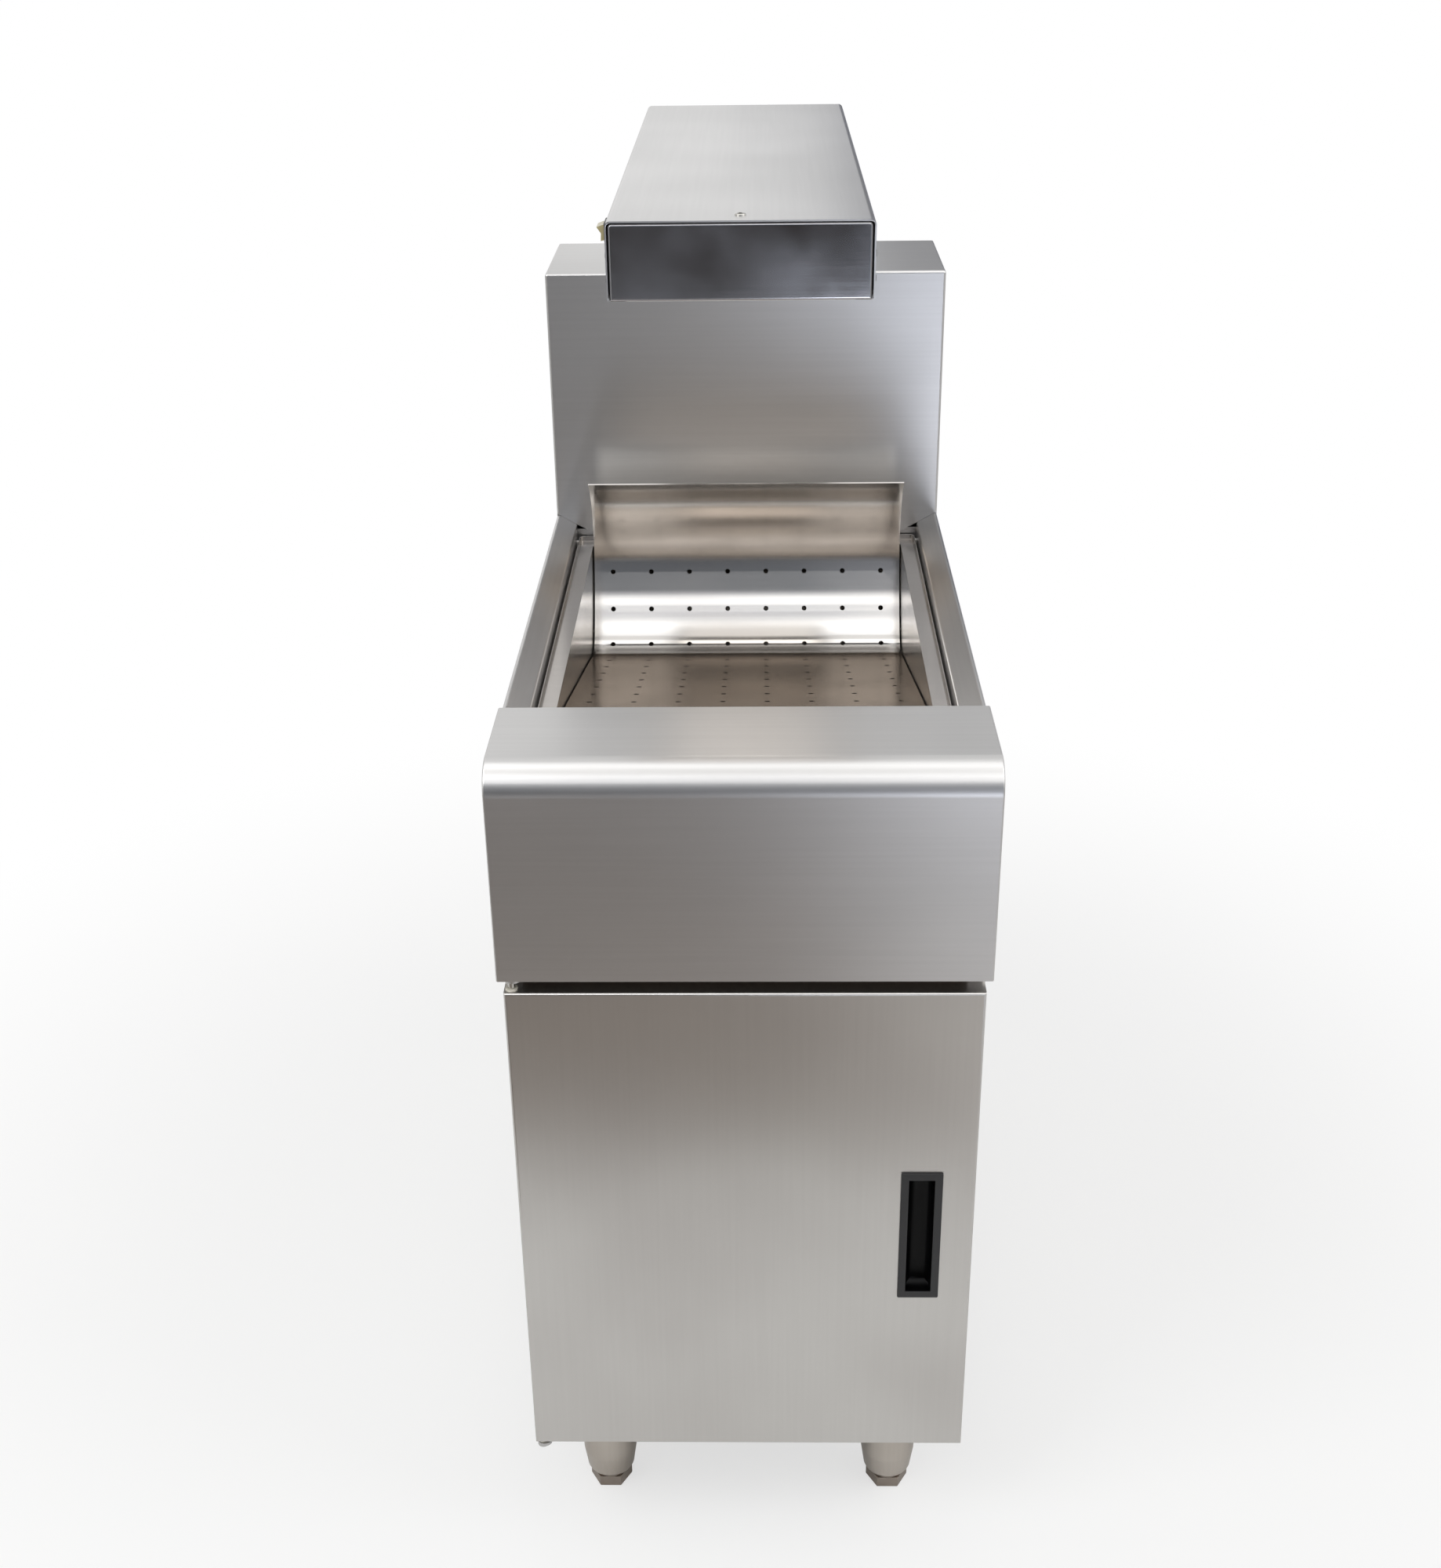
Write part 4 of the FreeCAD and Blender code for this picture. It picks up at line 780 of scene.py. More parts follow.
@dataclass
class Deck:
    """The sloping side rails and the ledge that the pan stands on."""

    sheet: float = 1.2
    fold: float = 1.6
    rail_width: float = 20.5
    rail_drop: float = 12.0
    skirt: float = 16.0
    ledge_drop: float = 30.3
    ledge: float = 14.5
    under_shelf: float = 3.5      # from the shelf down to the front wall's edge
    rear_gap: float = 5.0         # from the rails' inner edges down to the rear wall's edge

    def build(self) -> None:
        """Make the four folded strips as one piece."""
        half = cad_box("deck")[1].x
        hood_high = cad_box("front_hood")[1]
        shelf, hood_back = hood_high.z, hood_high.y
        splash_front = cad_box("backsplash_shell")[0].y
        ledge_z = shelf - self.ledge_drop
        well = half - self.rail_width
        rail = strip(Plane.FRONT, [
            (self.ledge - well, ledge_z), (-well, ledge_z), (-well, shelf - self.rail_drop),
            (-half, shelf), (-half, shelf - self.skirt)],
            [self.fold] * 3, self.sheet, hood_back, splash_front)
        front_wall = hood_back + self.sheet
        front = strip(Plane.SIDE, [
            (front_wall + self.ledge, ledge_z), (front_wall, ledge_z),
            (front_wall, shelf - self.under_shelf)], [self.fold], self.sheet, -well, well)
        rear_wall = splash_front + self.sheet
        rear = strip(Plane.SIDE, [
            (rear_wall, shelf - self.rail_drop - self.rear_gap), (rear_wall, ledge_z),
            (rear_wall - self.ledge - self.sheet, ledge_z)], [self.fold], self.sheet, -well, well)
        Piece("deck_rails_and_ledge", "cabinet", SATIN_DEEP, ["deck"], self.sheet).make(
            joined([rail, mirrored(rail), front, rear]))


@dataclass
class Backsplash:
    """The box behind the pan, which stands on the deck's rails."""

    sheet: float = 1.2
    corner: float = 2.5
    rear_flange: float = 15.0
    dip: float = 20.5             # from the shelf down to the front's lower edge
    dip_run: float = 16.0         # width of the slope at either end of that edge
    seam: float = 0.1             # from the rails up to the box's lower edge

    def build(self) -> None:
        """Make the folded box, with its lower edge cut to the rails."""
        low, high = cad_box("backsplash_shell")
        half = high.x
        mesh = block(low, high)
        bevel(mesh, edges_at(mesh, y=low.y, x=low.x) + edges_at(mesh, y=low.y, x=high.x)
              + edges_off(edges_at(mesh, z=high.z), y=high.y), self.corner, FOLD_FACETS)
        flange_edge = half - self.rear_flange
        for side in (-1, 1):
            split_faces(mesh, faces_at(mesh, y=high.y), (side * flange_edge, 0, 0), (side, 0, 0))
        drop_faces(mesh, [face for face in faces_at(mesh, y=high.y)
                          if abs(face.calc_center_median().x) < flange_edge])
        drop_faces(mesh, faces_at(mesh, z=low.z))
        Piece("backsplash_box", "cabinet", SATIN_ACROSS, ["backsplash_shell"], self.sheet).make(
            shell(mesh), self.cutters(low, high))

    def cutters(self, low: Vector, high: Vector) -> list[BMesh]:
        """What is cut away under the box: the rails' outline in front, and all below the skirt behind.

        Args:
            low: The box's lowest corner.
            high: Its highest corner.

        Returns:
            The solids to cut with.
        """
        half = high.x
        past = half + OVERRUN
        shelf = low.z + self.dip
        well = half - Deck.rail_width
        cutters = [outline_solid(Plane.FRONT, [
            (side * past, shelf + self.seam), (side * half, shelf + self.seam),
            (side * well, shelf - Deck.rail_drop + self.seam), (side * (well - self.dip_run), low.z),
            (side * (well - self.dip_run), low.z - OVERRUN), (side * past, low.z - OVERRUN)],
            low.y - OVERRUN, low.y + self.sheet) for side in (-1, 1)]
        cutters.append(block((-past, low.y + self.sheet, low.z - OVERRUN),
                             (past, high.y + OVERRUN, shelf - Deck.skirt)))
        return cutters


@dataclass
class DumpPan:
    """The drop-in pan: a rounded well, a flange round it and an upturned edge."""

    sheet: float = 1.2
    flange: float = 15.0
    lip: float = 5.0
    corner: float = 4.0
    corner_facets: int = 6
    floor_round: float = 2.0

    def build(self) -> None:
        """Raise the wall from the floor, then fold it out and up."""
        low, high = cad_box("dump_pan")
        floor = low.z + self.sheet
        top = high.z - self.lip
        inset = self.flange
        mesh = block((low.x + inset, low.y + inset, floor), (high.x - inset, high.y - inset, top))
        drop_faces(mesh, faces_at(mesh, z=top))
        bevel(mesh, edges_along(mesh, "z"), self.corner, self.corner_facets)
        bevel(mesh, edges_at(mesh, z=floor), self.floor_round, EDGE_FACETS)
        middle = cad_middle("dump_pan")
        flat = self.flange - self.sheet
        for step in (Vector((flat, flat, 0)), Vector((0, 0, self.lip))):
            rim = [edge for edge in mesh.edges if edge.is_boundary]
            for vertex in vertices_of(bmesh.ops.extrude_edge_only(mesh, edges=rim)["geom"]):
                away = vertex.co - middle
                vertex.co += Vector((math.copysign(step.x, away.x), math.copysign(step.y, away.y), step.z))
        bmesh.ops.recalc_face_normals(mesh, faces=mesh.faces)
        floor_face = min(mesh.faces, key=lambda face: face.calc_center_median().z)
        if floor_face.normal.z < 0:
            bmesh.ops.reverse_faces(mesh, faces=mesh.faces)
        Piece("pan_pressing", "pan", PAN_STEEL, ["dump_pan"], self.sheet).make(mesh)


@dataclass
class Scoop:
    """The perforated tray that falls to the back, turns up and curls forward."""

    sheet: float = 1.2
    bend_at_tab: float = 1.6
    tab: float = 15.6
    heel_bend: float = 25.0
    heel_back: float = 66.0       # centre of the heel's bend to the rear wall of the pan
    lift_gap: float = 0.3         # the tab over the pan's flange
    wall: float = 84.0
    wall_angle: float = 60.0      # degrees, the mean of the wall
    wall_hollow: float = 8.0      # degrees from that mean to either half
    waist_bend: float = 170.0
    curl_radius: float = 86.0
    curl_angle: float = 84.0      # degrees from the mean of the wall to the lip
    lip: float = 3.0
    hole_radius: float = 2.5
    hole_sides: int = 20
    columns: int = 8
    hole_margin: float = 19.0     # from the scoop's sides to the outer holes
    wall_rows: int = 3
    wall_pitch: float = 37.9
    floor_rows: int = 9
    floor_pitch: float = 39.0
    first_row: float = 53.0       # from the heel's corner to the floor's first row
    crease: float = 12.0          # degrees; keeps the shading flat between the holes

    def build(self) -> None:
        """Fold the sheet and drill it."""
        low, high = cad_box("scoop_insert")
        pan_high = cad_box("dump_pan")[1]
        lower, upper = (math.radians(self.wall_angle + side * self.wall_hollow) for side in (-1, 1))
        half_wall = self.wall / 2 / math.cos(math.radians(self.wall_hollow))
        end = math.radians(self.wall_angle + self.curl_angle)
        radius = self.heel_bend + self.sheet
        tab_z = pan_high.z - DumpPan.lip + self.lift_gap
        tab_end = low.y + self.tab
        centre = Vector((pan_high.y - DumpPan.flange - self.heel_back, low.z + radius))
        reach = centre - Vector((tab_end, tab_z))
        slope = math.atan2(reach.y, reach.x) - math.asin(radius / reach.length)
        heel = self.ahead(centre, (slope + lower) / 2 - math.pi / 2, radius / math.cos((lower - slope) / 2))
        waist = self.ahead(heel, lower, half_wall)
        setback = self.curl_radius * math.tan((end - upper) / 2)
        curl = self.ahead(waist, upper, half_wall + setback)
        tip = self.ahead(curl, end, setback + self.lip)
        corners = [(low.y, tab_z), (tab_end, tab_z)] + [tuple(corner) for corner in (heel, waist, curl, tip)]
        bends = [self.bend_at_tab, self.heel_bend, self.waist_bend, self.curl_radius - self.sheet]
        mesh = strip(Plane.SIDE, corners, bends, self.sheet, low.x, high.x)
        for face in mesh.faces:
            if face.calc_center_median().y < centre.x:
                face.material_index = 1
        rows = [(self.ahead(waist, upper, run - half_wall), upper) if run > half_wall
                else (self.ahead(heel, lower, run), lower)
                for run in (2 * half_wall - row * self.wall_pitch for row in range(self.wall_rows))]
        rows += [(self.ahead(heel, slope, -self.first_row - row * self.floor_pitch), slope)
                 for row in range(self.floor_rows)]
        Piece("scoop_sheet", "scoop", SCOOP_STEEL, ["scoop_insert"], self.sheet, crease=self.crease,
              second=SCOOP_FLOOR).make(mesh, [self.drills(rows, low.x, high.x)])

    def drills(self, rows: Sequence[tuple[Vector, float]], left: float, right: float) -> BMesh:
        """The bars that drill every hole, square to the sheet.

        Args:
            rows: The place of each row, seen from the side, and how the sheet leans there.
            left: The scoop's left edge.
            right: Its right edge.

        Returns:
            All the bars as one mesh.
        """
        bars = []
        for place, lean in rows:
            across = Vector((-math.sin(lean), math.cos(lean))) * OVERRUN
            bars += [bar(self.hole_radius, (x, *(place - across)), (x, *(place + across)), self.hole_sides)
                     for x in spread(self.columns, left + self.hole_margin, right - self.hole_margin)]
        return joined(bars)

    @staticmethod
    def ahead(place: Vector, angle: float, run: float) -> Vector:
        """The place at a distance and an angle from another, seen from the side."""
        return place + Vector((math.cos(angle), math.sin(angle))) * run


@dataclass
class Door:
    """The double-walled door with its black pull."""

    sheet: float = 1.2
    corner: float = 2.5
    bore: float = 4.2             # radius of the holes for the hinge pins
    pull_wall: float = 2.5
    recess_width: float = 21.5
    recess_length: float = 118.0
    cup_depth: float = 14.0
    cup_round: float = 9.0
    cup_facets: int = 8
    frame_corner: float = 1.0
    cup_fit: float = 0.3

    def build(self) -> None:
        """Make the skin and the pull."""
        self.build_skin()
        self.build_pull()

    def build_skin(self) -> None:
        """The face and its folded edges, cut for the pull and the hinge pins."""
        low, high = cad_box("door_skin")
        pull_low, pull_high = cad_box("handle_cup")
        mesh = block(low, high)
        drop_faces(mesh, faces_at(mesh, y=high.y))
        bevel(mesh, edges_at(mesh, y=low.y), self.corner, FOLD_FACETS)
        wall = self.pull_wall
        window = block((pull_low.x + wall, low.y - OVERRUN, pull_low.z + wall),
                       (pull_high.x - wall, low.y + OVERRUN, pull_high.z - wall))
        pin = cad_middle("top_hinge_pin")
        bore = bar(self.bore, (pin.x, pin.y, low.z - OVERRUN), (pin.x, pin.y, high.z + OVERRUN))
        Piece("door_folded_skin", "door", SATIN_UPRIGHT, ["door_skin"], self.sheet).make(
            shell(mesh), [window, bore])

    def build_pull(self) -> None:
        """A flat frame round a finger cup with a rounded bottom."""
        low, high = cad_box("handle_cup")
        middle = cad_middle("handle_cup")
        face_y = cad_box("door_skin")[0].y
        mesh = block(low, (high.x, face_y, high.z))
        back = faces_at(mesh, y=face_y)
        bmesh.ops.inset_region(mesh, faces=back, thickness=self.pull_wall + self.cup_fit)
        self.draw_out(mesh, back, high.y - face_y)
        bevel(mesh, edges_along(mesh, "y") + edges_at(mesh, y=high.y), self.frame_corner)
        front = faces_at(mesh, y=low.y)
        bmesh.ops.inset_region(mesh, faces=front, thickness=(high.x - low.x - self.recess_width) / 2)
        mouth = {vertex for face in front for vertex in face.verts}
        for vertex in mouth:
            vertex.co.x = middle.x + math.copysign(self.recess_width / 2, vertex.co.x - middle.x)
            vertex.co.z = middle.z + math.copysign(self.recess_length / 2, vertex.co.z - middle.z)
        bmesh.ops.remove_doubles(mesh, verts=list(mouth), dist=NEAR)
        mouth_face = min(faces_at(mesh, y=low.y),
                         key=lambda face: (face.calc_center_median() - middle).xz.length)
        sunk = self.draw_out(mesh, [mouth_face], self.cup_depth)
        # the cup's faces take the near-black ABS, painted shade of the recess
        for face in {face for vertex in sunk for face in vertex.link_faces}:
            face.material_index = 1
        bevel(mesh, edges_at(mesh, y=low.y + self.cup_depth), self.cup_round, self.cup_facets)
        Piece("door_pull", "door", BLACK_ABS, ["handle_cup"], edge_round=0.8,
              second=RECESS_SHADE_ABS).make(shell(mesh))

    @staticmethod
    def draw_out(mesh: BMesh, faces: Sequence[BMFace], depth: float) -> list[BMVert]:
        """Draw faces out along y, and leave nothing where they were.

        Args:
            mesh: The mesh that they belong to.
            faces: The faces.
            depth: How far they go.

        Returns:
            The vertices that went with them.
        """
        drawn = vertices_of(bmesh.ops.extrude_face_region(mesh, geom=faces)["geom"])
        bmesh.ops.translate(mesh, vec=(0, depth, 0), verts=drawn)
        drop_faces(mesh, [face for face in faces if face.is_valid])
        return drawn


@dataclass
class Leg:
    """One tubular leg and its screw foot."""

    place: str
    radius: float = 25.0
    wall: float = 2.0
    sides: int = 64
    toe_radius: float = 22.0
    toe: float = 19.0             # height over the floor where the taper starts
    taper: float = 40.0           # height where it ends
    lip_radius: float = 17.5
    bottom: float = 12.0          # thickness of the tube's closed end
    foot_width: float = 34.0      # over the hexagon's flats
    foot_height: float = 12.0
    foot_edge: float = 1.6
    foot_turn: float = 30.0       # degrees from +X to the hexagon's first corner
    stem_radius: float = 8.0
    stem_gap: float = 0.1
    stem_sides: int = 24
    stem_sunk: float = 1.0        # into the hexagon
    thread_start: float = 0.5     # over the hexagon
    thread_pitch: float = 2.5
    thread_depth: float = 0.8

    def build(self) -> None:
        """Turn the leg, and stand the hexagonal foot under it."""
        leg, foot = "leg_" + self.place, "foot_" + self.place
        low, high = cad_box(leg)
        centre = (*cad_middle(leg).xy, 0.0)
        bore = self.stem_radius + self.stem_gap
        inside = self.radius - self.wall
        tube = turned([
            (bore, low.z), (self.lip_radius, low.z), (self.toe_radius, self.toe), (self.radius, self.taper),
            (self.radius, high.z), (inside, high.z), (inside, self.taper),
            (self.toe_radius - self.wall, low.z + self.bottom), (bore, low.z + self.bottom),
            (bore, low.z)], self.sides)
        Piece("leg_tube_" + self.place, "cabinet", LEG_STEEL, [leg], edge_round=0.6,
              sharp=8.0).make(moved(tube, centre))
        Piece("screw_" + foot, foot, FOOT_STEEL, [foot], edge_round=0.5).make(
            moved(joined([self.hexagon(), self.stem(cad_box(foot)[1].z)]), centre))

    def hexagon(self) -> BMesh:
        """The foot's hexagon, standing on the origin, with its lower edge rounded.

        Returns:
            The hexagon.
        """
        mesh = bmesh.new()
        corner_radius = self.foot_width / math.sqrt(3)
        turn = Matrix.Rotation(math.radians(self.foot_turn), 4, "Z")
        bmesh.ops.create_cone(mesh, cap_ends=True, segments=6, radius1=corner_radius, radius2=corner_radius,
                              depth=self.foot_height,
                              matrix=Matrix.Translation((0, 0, self.foot_height / 2)) @ turn)
        bevel(mesh, edges_at(mesh, z=0.0), self.foot_edge, EDGE_FACETS)
        return mesh

    def stem(self, top: float) -> BMesh:
        """The threaded stem over the hexagon.

        Args:
            top: Height of the stem's end.

        Returns:
            The stem.
        """
        root = self.stem_radius - self.thread_depth
        start = self.foot_height - self.stem_sunk
        profile = [(0.0, start), (root, start)]
        for ring in range(int((top - self.foot_height - self.thread_pitch) / self.thread_pitch)):
            valley = self.foot_height + self.thread_start + ring * self.thread_pitch
            profile += [(root, valley), (self.stem_radius, valley + self.thread_pitch / 2)]
        return turned(profile + [(root, top), (0.0, top)], self.stem_sides)


@dataclass
class Lamp:
    """The lamp housing with its end caps."""

    sheet: float = 1.2
    lip: float = 12.0
    fold: float = 1.6
    top_fold: float = 3.0
    cap_sheet: float = 1.5
    cap_round: float = 3.0
    cap_edge: float = 2.4
    cap_gap: float = 0.6          # from a cap to the housing's lips, which stop short of it
    screw_back: float = 21.0      # the caps' screws, from the front of the housing
    screw_rises: tuple[float, float] = (12.0, 30.0)
    bezel: tuple[float, float] = (2.0, 1.6)     # the switch over its opening's edge, along y and z

    def build(self) -> None:
        """Make the housing and the caps."""
        low, high = cad_box("lamp_shell")
        half = high.x
        switch_low, switch_high = cad_box("switch_body")
        housing = strip(Plane.FRONT, [
            (half - self.lip, low.z), (half, low.z), (half, high.z), (-half, high.z), (-half, low.z),
            (self.lip - half, low.z)], [self.fold, self.top_fold, self.top_fold, self.fold], self.sheet,
            low.y, high.y)
        inside = half - self.sheet
        front_end = cad_box("lamp_front_cap")[1].y + self.cap_gap
        rear_end = cad_box("lamp_rear_cap")[0].y - self.cap_gap
        mouths = [block((-inside, start, low.z - OVERRUN), (inside, end, low.z + self.sheet + self.fold))
                  for start, end in ((low.y - OVERRUN, front_end), (rear_end, high.y + OVERRUN))]
        along, upright = self.bezel
        window = block((-half - OVERRUN, switch_low.y + along, switch_low.z + upright),
                       (-half + OVERRUN, switch_high.y - along, switch_high.z - upright))
        Piece("lamp_housing", "cabinet", SATIN_DEEP, ["lamp_shell"], self.sheet).make(
            housing, mouths + [window])
        self.build_cap("lamp_front_cap", "front_end_cap", -1)
        self.build_cap("lamp_rear_cap", "rear_end_cap", 1)

    def build_cap(self, node: str, name: str, side: int) -> None:
        """One end cap: a pressed face with flanges behind it.

        Args:
            node: The CAD node that it stands for.
            name: The piece's name.
            side: -1 for the front, +1 for the rear.
        """
        low, high = cad_box(node)
        face, back = (low.y, high.y) if side < 0 else (high.y, low.y)
        mesh = block(low, high)
        drop_faces(mesh, faces_at(mesh, y=back))
        bevel(mesh, edges_at(mesh, z=high.z, x=low.x) + edges_at(mesh, z=high.z, x=high.x), self.cap_round,
              FOLD_FACETS)
        bevel(mesh, edges_at(mesh, y=face), self.cap_edge, EDGE_FACETS)
        Piece(name, "cabinet", CAP_STEEL, [node], self.cap_sheet).make(shell(mesh))


@dataclass
class Screws:
    """Domed screw heads with a sunk middle, at the hood's bottom flange and on the lamp's housing."""

    radius: float = 4.2
    height: float = 1.6
    hood_radius: float = 4.6
    hood_height: float = 5.5
    hood_reach: float = 173.0     # from the middle of the hood to its outer screws
    sides: int = 24
    seated: float = 0.5           # how far a head reaches into its seat
    skirt_share: float = 0.35     # of the height, under the dome
    dome: tuple[float, float] = (20.0, 70.0)      # degrees from the dome's foot to its top
    dome_facets: int = 5
    recess: tuple[tuple[float, float], ...] = ((2.3, 0.0), (2.07, 0.15), (0.5, 0.9), (0.0, 1.0))

    def head(self, radius: float, height: float) -> BMesh:
        """One head on the origin, looking up, with its recess sunk in.

        Args:
            radius: The head's radius.
            height: How far it stands out.

        Returns:
            The head.
        """
        skirt = self.skirt_share
        profile = [(0.0, -self.seated), (radius, -self.seated), (radius, height * skirt)]
        for angle in spread(self.dome_facets, *self.dome):
            lean = math.radians(angle)
            profile.append((radius * math.cos(lean), height * (skirt + (1 - skirt) * math.sin(lean))))
        return turned(profile + [(reach, height - depth) for reach, depth in self.recess], self.sides)

    def build(self) -> None:
        """Make every group of screws at its seats."""
        seat = Vector((0, cad_middle("hood_screws").y, cad_box("hood_screws")[1].z))
        seats = [(seat + Vector((side * self.hood_reach, 0, 0)), (0, 0, -1)) for side in (-1, 0, 1)]
        self.group("hood_fixing_screws", "hood_screws", seats, self.hood_radius, self.hood_height)
        low, high = cad_box("lamp_shell")
        y = low.y + Lamp.screw_back
        seats = [((0, y, high.z), (0, 0, 1))]
        seats += [((side * high.x, y, low.z + rise), (side, 0, 0))
                  for side in (-1, 1) for rise in Lamp.screw_rises]
        self.group("lamp_cap_screws", "lamp_screws", seats, self.radius, self.height)

    def group(self, name: str, node: str, seats: Sequence[tuple[Sequence[float], Sequence[float]]],
              radius: float, height: float) -> None:
        """Put one kind of screw at its seats.

        Args:
            name: The piece's name.
            node: The CAD node that the group stands for.
            seats: Where each head sits and which way it looks.
            radius: The heads' radius.
            height: How far they stand out.
        """
        pattern = self.head(radius, height)
        heads = [moved(pattern, seat, outwards) for seat, outwards in seats]
        pattern.free()
        Piece(name, "cabinet", HARDWARE_STEEL, [node], edge_round=0.0).make(joined(heads))


@dataclass
class PlainNodes:
    """CAD nodes whose own shape is right, given their finish."""

    finishes: Sequence[tuple[Finish, Sequence[str]]] = (
        (SATIN_UPRIGHT, ("side_panel_left", "side_panel_right", "lamp_column")),
        (MILL_STEEL, ("base_tray", "back_panel", "backsplash_rear_cover", "door_liner", "lamp_plate",
                      "leg_plates", "top_hinge_plate", "bottom_hinge_plate")),
        # the crossbar in the gap over the door takes the painted gap shade
        (GAP_SHADE_STEEL, ("front_crossbar",)),
        (HARDWARE_STEEL, ("rear_screws", "column_screws", "leg_bolts", "top_hinge_pin", "bottom_hinge_pin",
                          "strike_plate", "wire_guard")),
        (REFLECTOR, ("lamp_reflector",)),
        (SHEATH, ("heating_element",)),
        (ZINC, ("element_brackets",)),
        (BLACK_ABS, ("catch_magnet", "cable_gland", "gland_nut", "switch_body")),
        (IVORY, ("switch_rocker",)),
        (NYLON, ("door_bushes",)),
        (CERAMIC, ("terminal_block",)),
    )

    def dress(self) -> None:
        """Give each node's material slot its finish."""
        for finish, nodes in self.finishes:
            for node in nodes:
                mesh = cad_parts[node].data
                mesh.materials.clear()
                mesh.materials.append(finish.material())
                log.info("%s keeps its CAD shape", node)


# The studio


@dataclass
class Board:
    """A flat board beside the camera, seen only in the metal."""

    name: str
    place: tuple[float, float, float]     # its middle, in metres
    size: tuple[float, float]             # along X, and the other way
    facing: tuple[float, float, float]
    colour: str
    far_colour: str = ""                  # where it is given, the board turns to it along X
    start: float = 0.0                    # x where the second colour begins to come in
    end: float = 1.0                      # x where it has taken over
    strength: float = 1.0

    def build(self) -> None:
        """Stand the board up and give it its two tones."""
        mesh = bmesh.new()
        tilt = math.atan2(-self.facing[1], self.facing[2])     # the board's width stays along X
        turn = Matrix.Rotation(tilt, 4, "X")
        bmesh.ops.create_grid(mesh, x_segments=1, y_segments=1, size=0.5,
                              matrix=Matrix.Translation(Vector(self.place) / MM) @ turn
                              @ Matrix.Diagonal((self.size[0] / MM, self.size[1] / MM, 1.0, 1.0)))
        board = Piece.object_of(mesh, self.name)
        material = empty_material(self.name + "_tone")
        tree = material.node_tree
        place = add_node(tree, "ShaderNodeTexCoord").outputs["Object"]
        across = add_node(tree, "ShaderNodeSeparateXYZ", inputs={"Vector": place}).outputs["X"]
        share = add_node(tree, "ShaderNodeMapRange", {"interpolation_type": "SMOOTHSTEP"}, {
            "Value": across, "From Min": self.start, "From Max": self.end})
        tone = add_node(tree, "ShaderNodeMix", {"data_type": "RGBA"}, {
            "Factor": share.outputs["Result"], MIX_FROM: linear(self.colour),
            MIX_TO: linear(self.far_colour or self.colour)})
        glow = add_node(tree, "ShaderNodeEmission", inputs={
            "Color": tone.outputs[MIXED], "Strength": self.strength})
        add_node(tree, "ShaderNodeOutputMaterial", inputs={"Surface": glow.outputs["Emission"]})
        board.data.materials.append(material)
        for rays in ("camera", "diffuse", "shadow", "transmission", "volume_scatter"):
            setattr(board, "visible_" + rays, False)


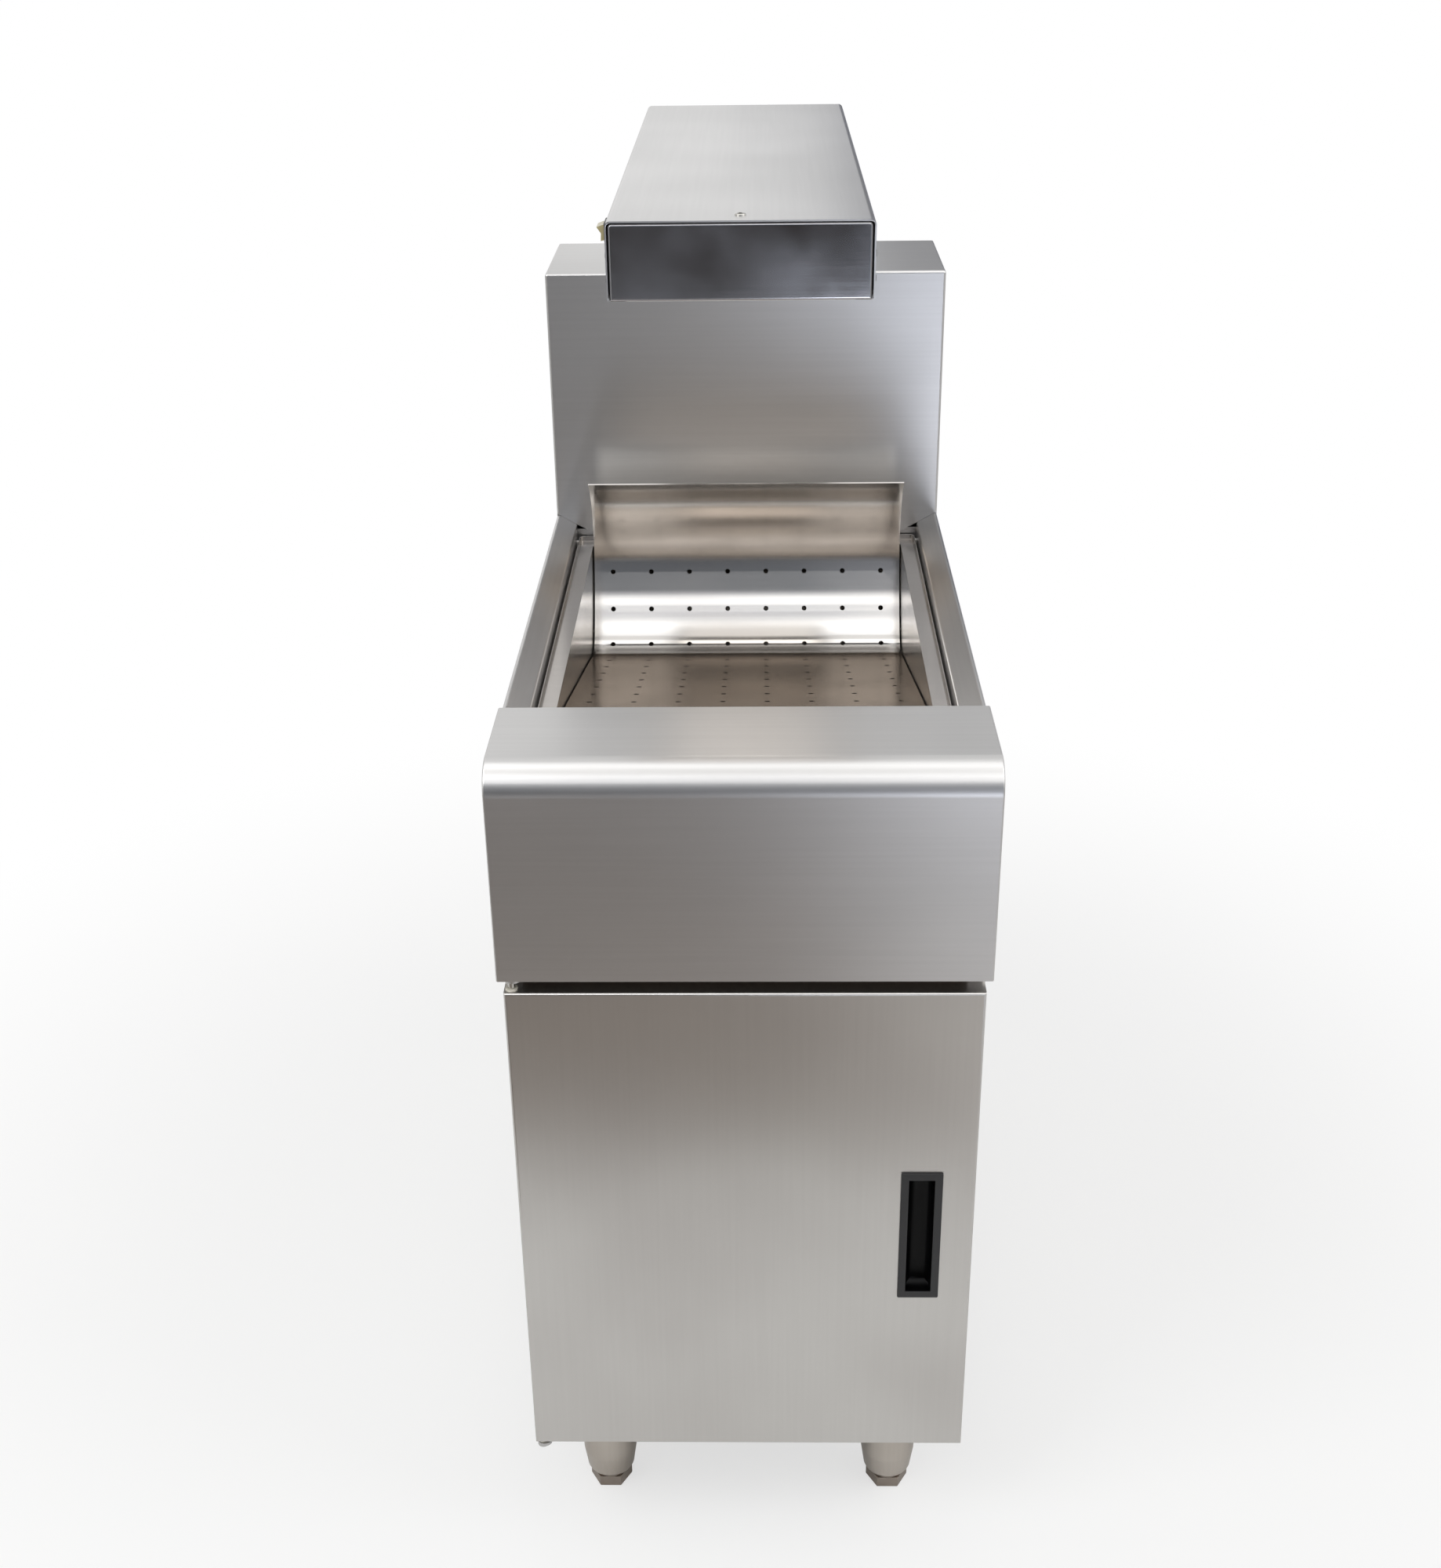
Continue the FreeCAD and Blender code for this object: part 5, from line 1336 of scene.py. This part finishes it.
@dataclass
class Studio:
    """Floor, light, the boards that the metal mirrors, and the camera at the photograph's view."""

    focal_length: float = 44.45   # mm, for a picture 36 mm tall
    picture_height: float = 36.0
    farthest: float = 200.0       # metres that the camera sees
    camera_place: tuple[float, float, float] = (0.0130, -1.6739, 1.4277)
    yaw: float = -1.31            # degrees to the right
    pitch: float = 26.49          # degrees down
    roll: float = 0.772           # degrees
    world_light: float = 0.62
    floor_reach: float = 30.0     # metres from the middle to the floor's edge
    floor_paint: str = "#f2f2f1"
    floor_whiteness: float = 0.62  # share of plain white in the floor beside the object
    floor_fade: tuple[float, float] = (0.5, 1.5)      # metres from the middle to where it is all white
    lamps_aim: tuple[float, float, float] = (0.0, 0.0, 0.6)

    def build(self) -> None:
        """Set the whole studio up."""
        self.build_world()
        self.build_floor()
        self.build_boards()
        self.build_lamps()
        self.build_camera()

    def build_world(self) -> None:
        """Plain light all round; the camera and mirrored rays see white."""
        world = bpy.data.worlds.new("studio")
        bpy.context.scene.world = world
        world.use_nodes = True
        tree = world.node_tree
        tree.nodes.clear()
        path = add_node(tree, "ShaderNodeLightPath")
        seen = add_node(tree, "ShaderNodeMath", {"operation": "MAXIMUM"}, {
            0: path.outputs["Is Camera Ray"], 1: path.outputs["Is Glossy Ray"]})
        clear = add_node(tree, "ShaderNodeMath", {"operation": "MAXIMUM"}, {
            0: seen.outputs["Value"], 1: path.outputs["Is Transmission Ray"]})
        strength = add_node(tree, "ShaderNodeMapRange", inputs={
            "Value": clear.outputs["Value"], "To Min": self.world_light, "To Max": 1.0})
        light = add_node(tree, "ShaderNodeBackground", inputs={
            "Color": linear("#ffffff"), "Strength": strength.outputs["Result"]})
        add_node(tree, "ShaderNodeOutputWorld", inputs={"Surface": light.outputs["Background"]})

    def build_floor(self) -> None:
        """A pale floor that keeps the object's shadow and fades to white far out."""
        mesh = bmesh.new()
        bmesh.ops.create_grid(mesh, x_segments=2, y_segments=2, size=self.floor_reach / MM)
        floor = Piece.object_of(mesh, "studio_floor")
        material = empty_material("pale_painted_floor")
        tree = material.node_tree
        place = add_node(tree, "ShaderNodeTexCoord").outputs["Object"]
        away = add_node(tree, "ShaderNodeVectorMath", {"operation": "LENGTH"}, {0: place})
        fade = add_node(tree, "ShaderNodeMapRange", {"interpolation_type": "SMOOTHSTEP"}, {
            "Value": away.outputs["Value"], "From Min": self.floor_fade[0], "From Max": self.floor_fade[1]})
        paint = add_node(tree, "ShaderNodeBsdfDiffuse", inputs={"Color": linear(self.floor_paint)})
        white = add_node(tree, "ShaderNodeEmission", inputs={"Color": linear("#ffffff"), "Strength": 1.0})
        path = add_node(tree, "ShaderNodeLightPath")
        whole = add_node(tree, "ShaderNodeMapRange", inputs={
            "Value": fade.outputs["Result"], "To Min": self.floor_whiteness, "To Max": 1.0})
        share = add_node(tree, "ShaderNodeMath", {"operation": "MULTIPLY"}, {
            0: whole.outputs["Result"], 1: path.outputs["Is Camera Ray"]})
        mix = add_node(tree, "ShaderNodeMixShader", inputs={
            0: share.outputs["Value"], 1: paint.outputs["BSDF"], 2: white.outputs["Emission"]})
        add_node(tree, "ShaderNodeOutputMaterial", inputs={"Surface": mix.outputs["Shader"]})
        floor.data.materials.append(material)

    def build_boards(self) -> None:
        """Boards that only mirrored rays see, as a photographer sets them round polished metal, and two under
        the lamp that paint a bright reflection of its underside.
        """
        up, down, back, front = (0, 0, 1), (0, 0, -1), (0, 1, 0), (0, -1, 0)
        for board in (
            Board("near_cloth", (0.0, -1.3, 0.004), (6.0, 0.7), up, "#8f857d", "#dcd9d6", 0.08, 0.3),
            Board("shaded_cloth", (0.0, -1.98, 0.004), (6.0, 0.66), up, "#6a625c", "#b9b6b4", 0.08, 0.3),
            Board("far_cloth", (0.0, -3.5, 0.004), (6.0, 2.4), up, "#8b8e92", "#c4c7cc", -0.3, 0.4),
            Board("lit_cloth", (0.0, -2.8, 0.006), (6.0, 0.8), up, "#a9a6a4", "#c4c4c6", -0.3, 0.4),
            Board("window_light_on_the_cloth", (0.72, -3.4, 0.008), (0.95, 2.2), up, "#dfe4f0", strength=4.2),
            Board("light_strip_on_the_cloth", (-0.5, -3.2, 0.008), (0.1, 1.9), up, "#f2f4fa", strength=1.6),
            Board("wall_foot", (0.0, -4.7, 0.45), (7.0, 0.9), back, "#3d3937", "#8a8f99", 0.22, 0.6),
            Board("wall", (0.0, -4.7, 2.05), (7.0, 2.3), back, "#6b6f76", "#999da6", 0.1, 0.5),
            Board("ceiling", (0.0, -3.25, 3.2), (7.0, 2.9), down, "#c0c2c8", "#ffffff", 0.28, 0.6, 1.6),
            Board("first_ceiling_light", (0.0, -3.72, 3.19), (4.4, 0.75), down, "#ffffff", strength=2.7),
            Board("second_ceiling_light", (0.0, -2.25, 3.19), (4.4, 0.65), down, "#ffffff", strength=2.7),
            Board("front_roof", (0.0, -1.2, 3.2), (5.0, 1.2), down, "#e0dfde", "#ffffff", 0.25, 0.8, 1.8),
            Board("roof_light", (0.0, -0.1, 3.2), (5.0, 1.0), down, "#ffffff", strength=2.2),
            Board("doorway_behind", (0.85, 3.0, 1.0), (1.3, 2.2), front, "#b4b6bd", "#464954", 0.24, 0.36),
            Board("bench_behind", (0.8, 2.99, 0.74), (1.7, 1.48), front, "#c9cbd0", "#7a7d86", -0.05, 0.25),
            # Painted reflection: two glowing boards under the unlit heater's reflector, seen only in the
            # metal, brighten the lamp's underside where the hood and scoop mirror it
            Board("rear_painted_glow_under_reflector", (0.0, 0.13, 1.099), (0.17, 0.16), down, "#f6f0ea", strength=2.6),
            Board("front_painted_glow_under_reflector", (0.0, -0.165, 1.099), (0.17, 0.15), down, "#f6f0ea", strength=1.3),
        ):
            board.build()

    def build_lamps(self) -> None:
        """Two soft boxes."""
        self.lamp("key_soft_box", (-1.7, -1.6, 2.7), size=1.6, power=34.0)
        self.lamp("fill_soft_box", (2.1, -0.9, 2.2), size=1.4, power=16.0)

    def lamp(self, name: str, place: Sequence[float], size: float, power: float) -> None:
        """Hang one soft box, turned to the middle of the object.

        Args:
            name: The lamp's name.
            place: Where it hangs, in metres.
            size: Length of its sides, in metres.
            power: Its power, in watts.
        """
        light = bpy.data.lights.new(name, "AREA")
        light.shape = "SQUARE"
        light.size = size
        light.energy = power
        lamp = bpy.data.objects.new(name, light)
        aim = Vector(self.lamps_aim) - Vector(place)
        lamp.matrix_world = Matrix.Translation(place) @ aim.to_track_quat("-Z", "Y").to_matrix().to_4x4()
        bpy.context.scene.collection.objects.link(lamp)

    def build_camera(self) -> None:
        """Put the camera where the photograph was taken from."""
        yaw, pitch, roll = (math.radians(angle) for angle in (self.yaw, self.pitch, self.roll))
        ahead = Vector((math.sin(yaw) * math.cos(pitch), math.cos(yaw) * math.cos(pitch), -math.sin(pitch)))
        level = Vector((math.cos(yaw), -math.sin(yaw), 0.0))
        down = ahead.cross(level)
        right = level * math.cos(roll) + down * math.sin(roll)
        up = level * math.sin(roll) - down * math.cos(roll)
        data = bpy.data.cameras.new("photo_camera")
        data.sensor_fit = "VERTICAL"
        data.sensor_height = self.picture_height
        data.lens = self.focal_length
        data.clip_end = self.farthest
        camera = bpy.data.objects.new("photo_camera", data)
        turn = Matrix((right, up, -ahead)).transposed().to_4x4()
        camera.matrix_world = Matrix.Translation(self.camera_place) @ turn
        bpy.context.scene.collection.objects.link(camera)
        bpy.context.scene.camera = camera


def main() -> None:
    """Build the studio and then every sub-assembly, in the order of the real one."""
    logging.basicConfig(level=logging.INFO, format="%(message)s")
    bpy.context.scene.view_settings.view_transform = "Standard"
    Studio().build()
    PlainNodes().dress()
    FrontHood().build()
    Deck().build()
    Backsplash().build()
    DumpPan().build()
    Scoop().build()
    Door().build()
    for place in ("front_left", "front_right", "rear_left", "rear_right"):
        Leg(place).build()
    Lamp().build()
    Screws().build()


if __name__ == "__main__":
    main()
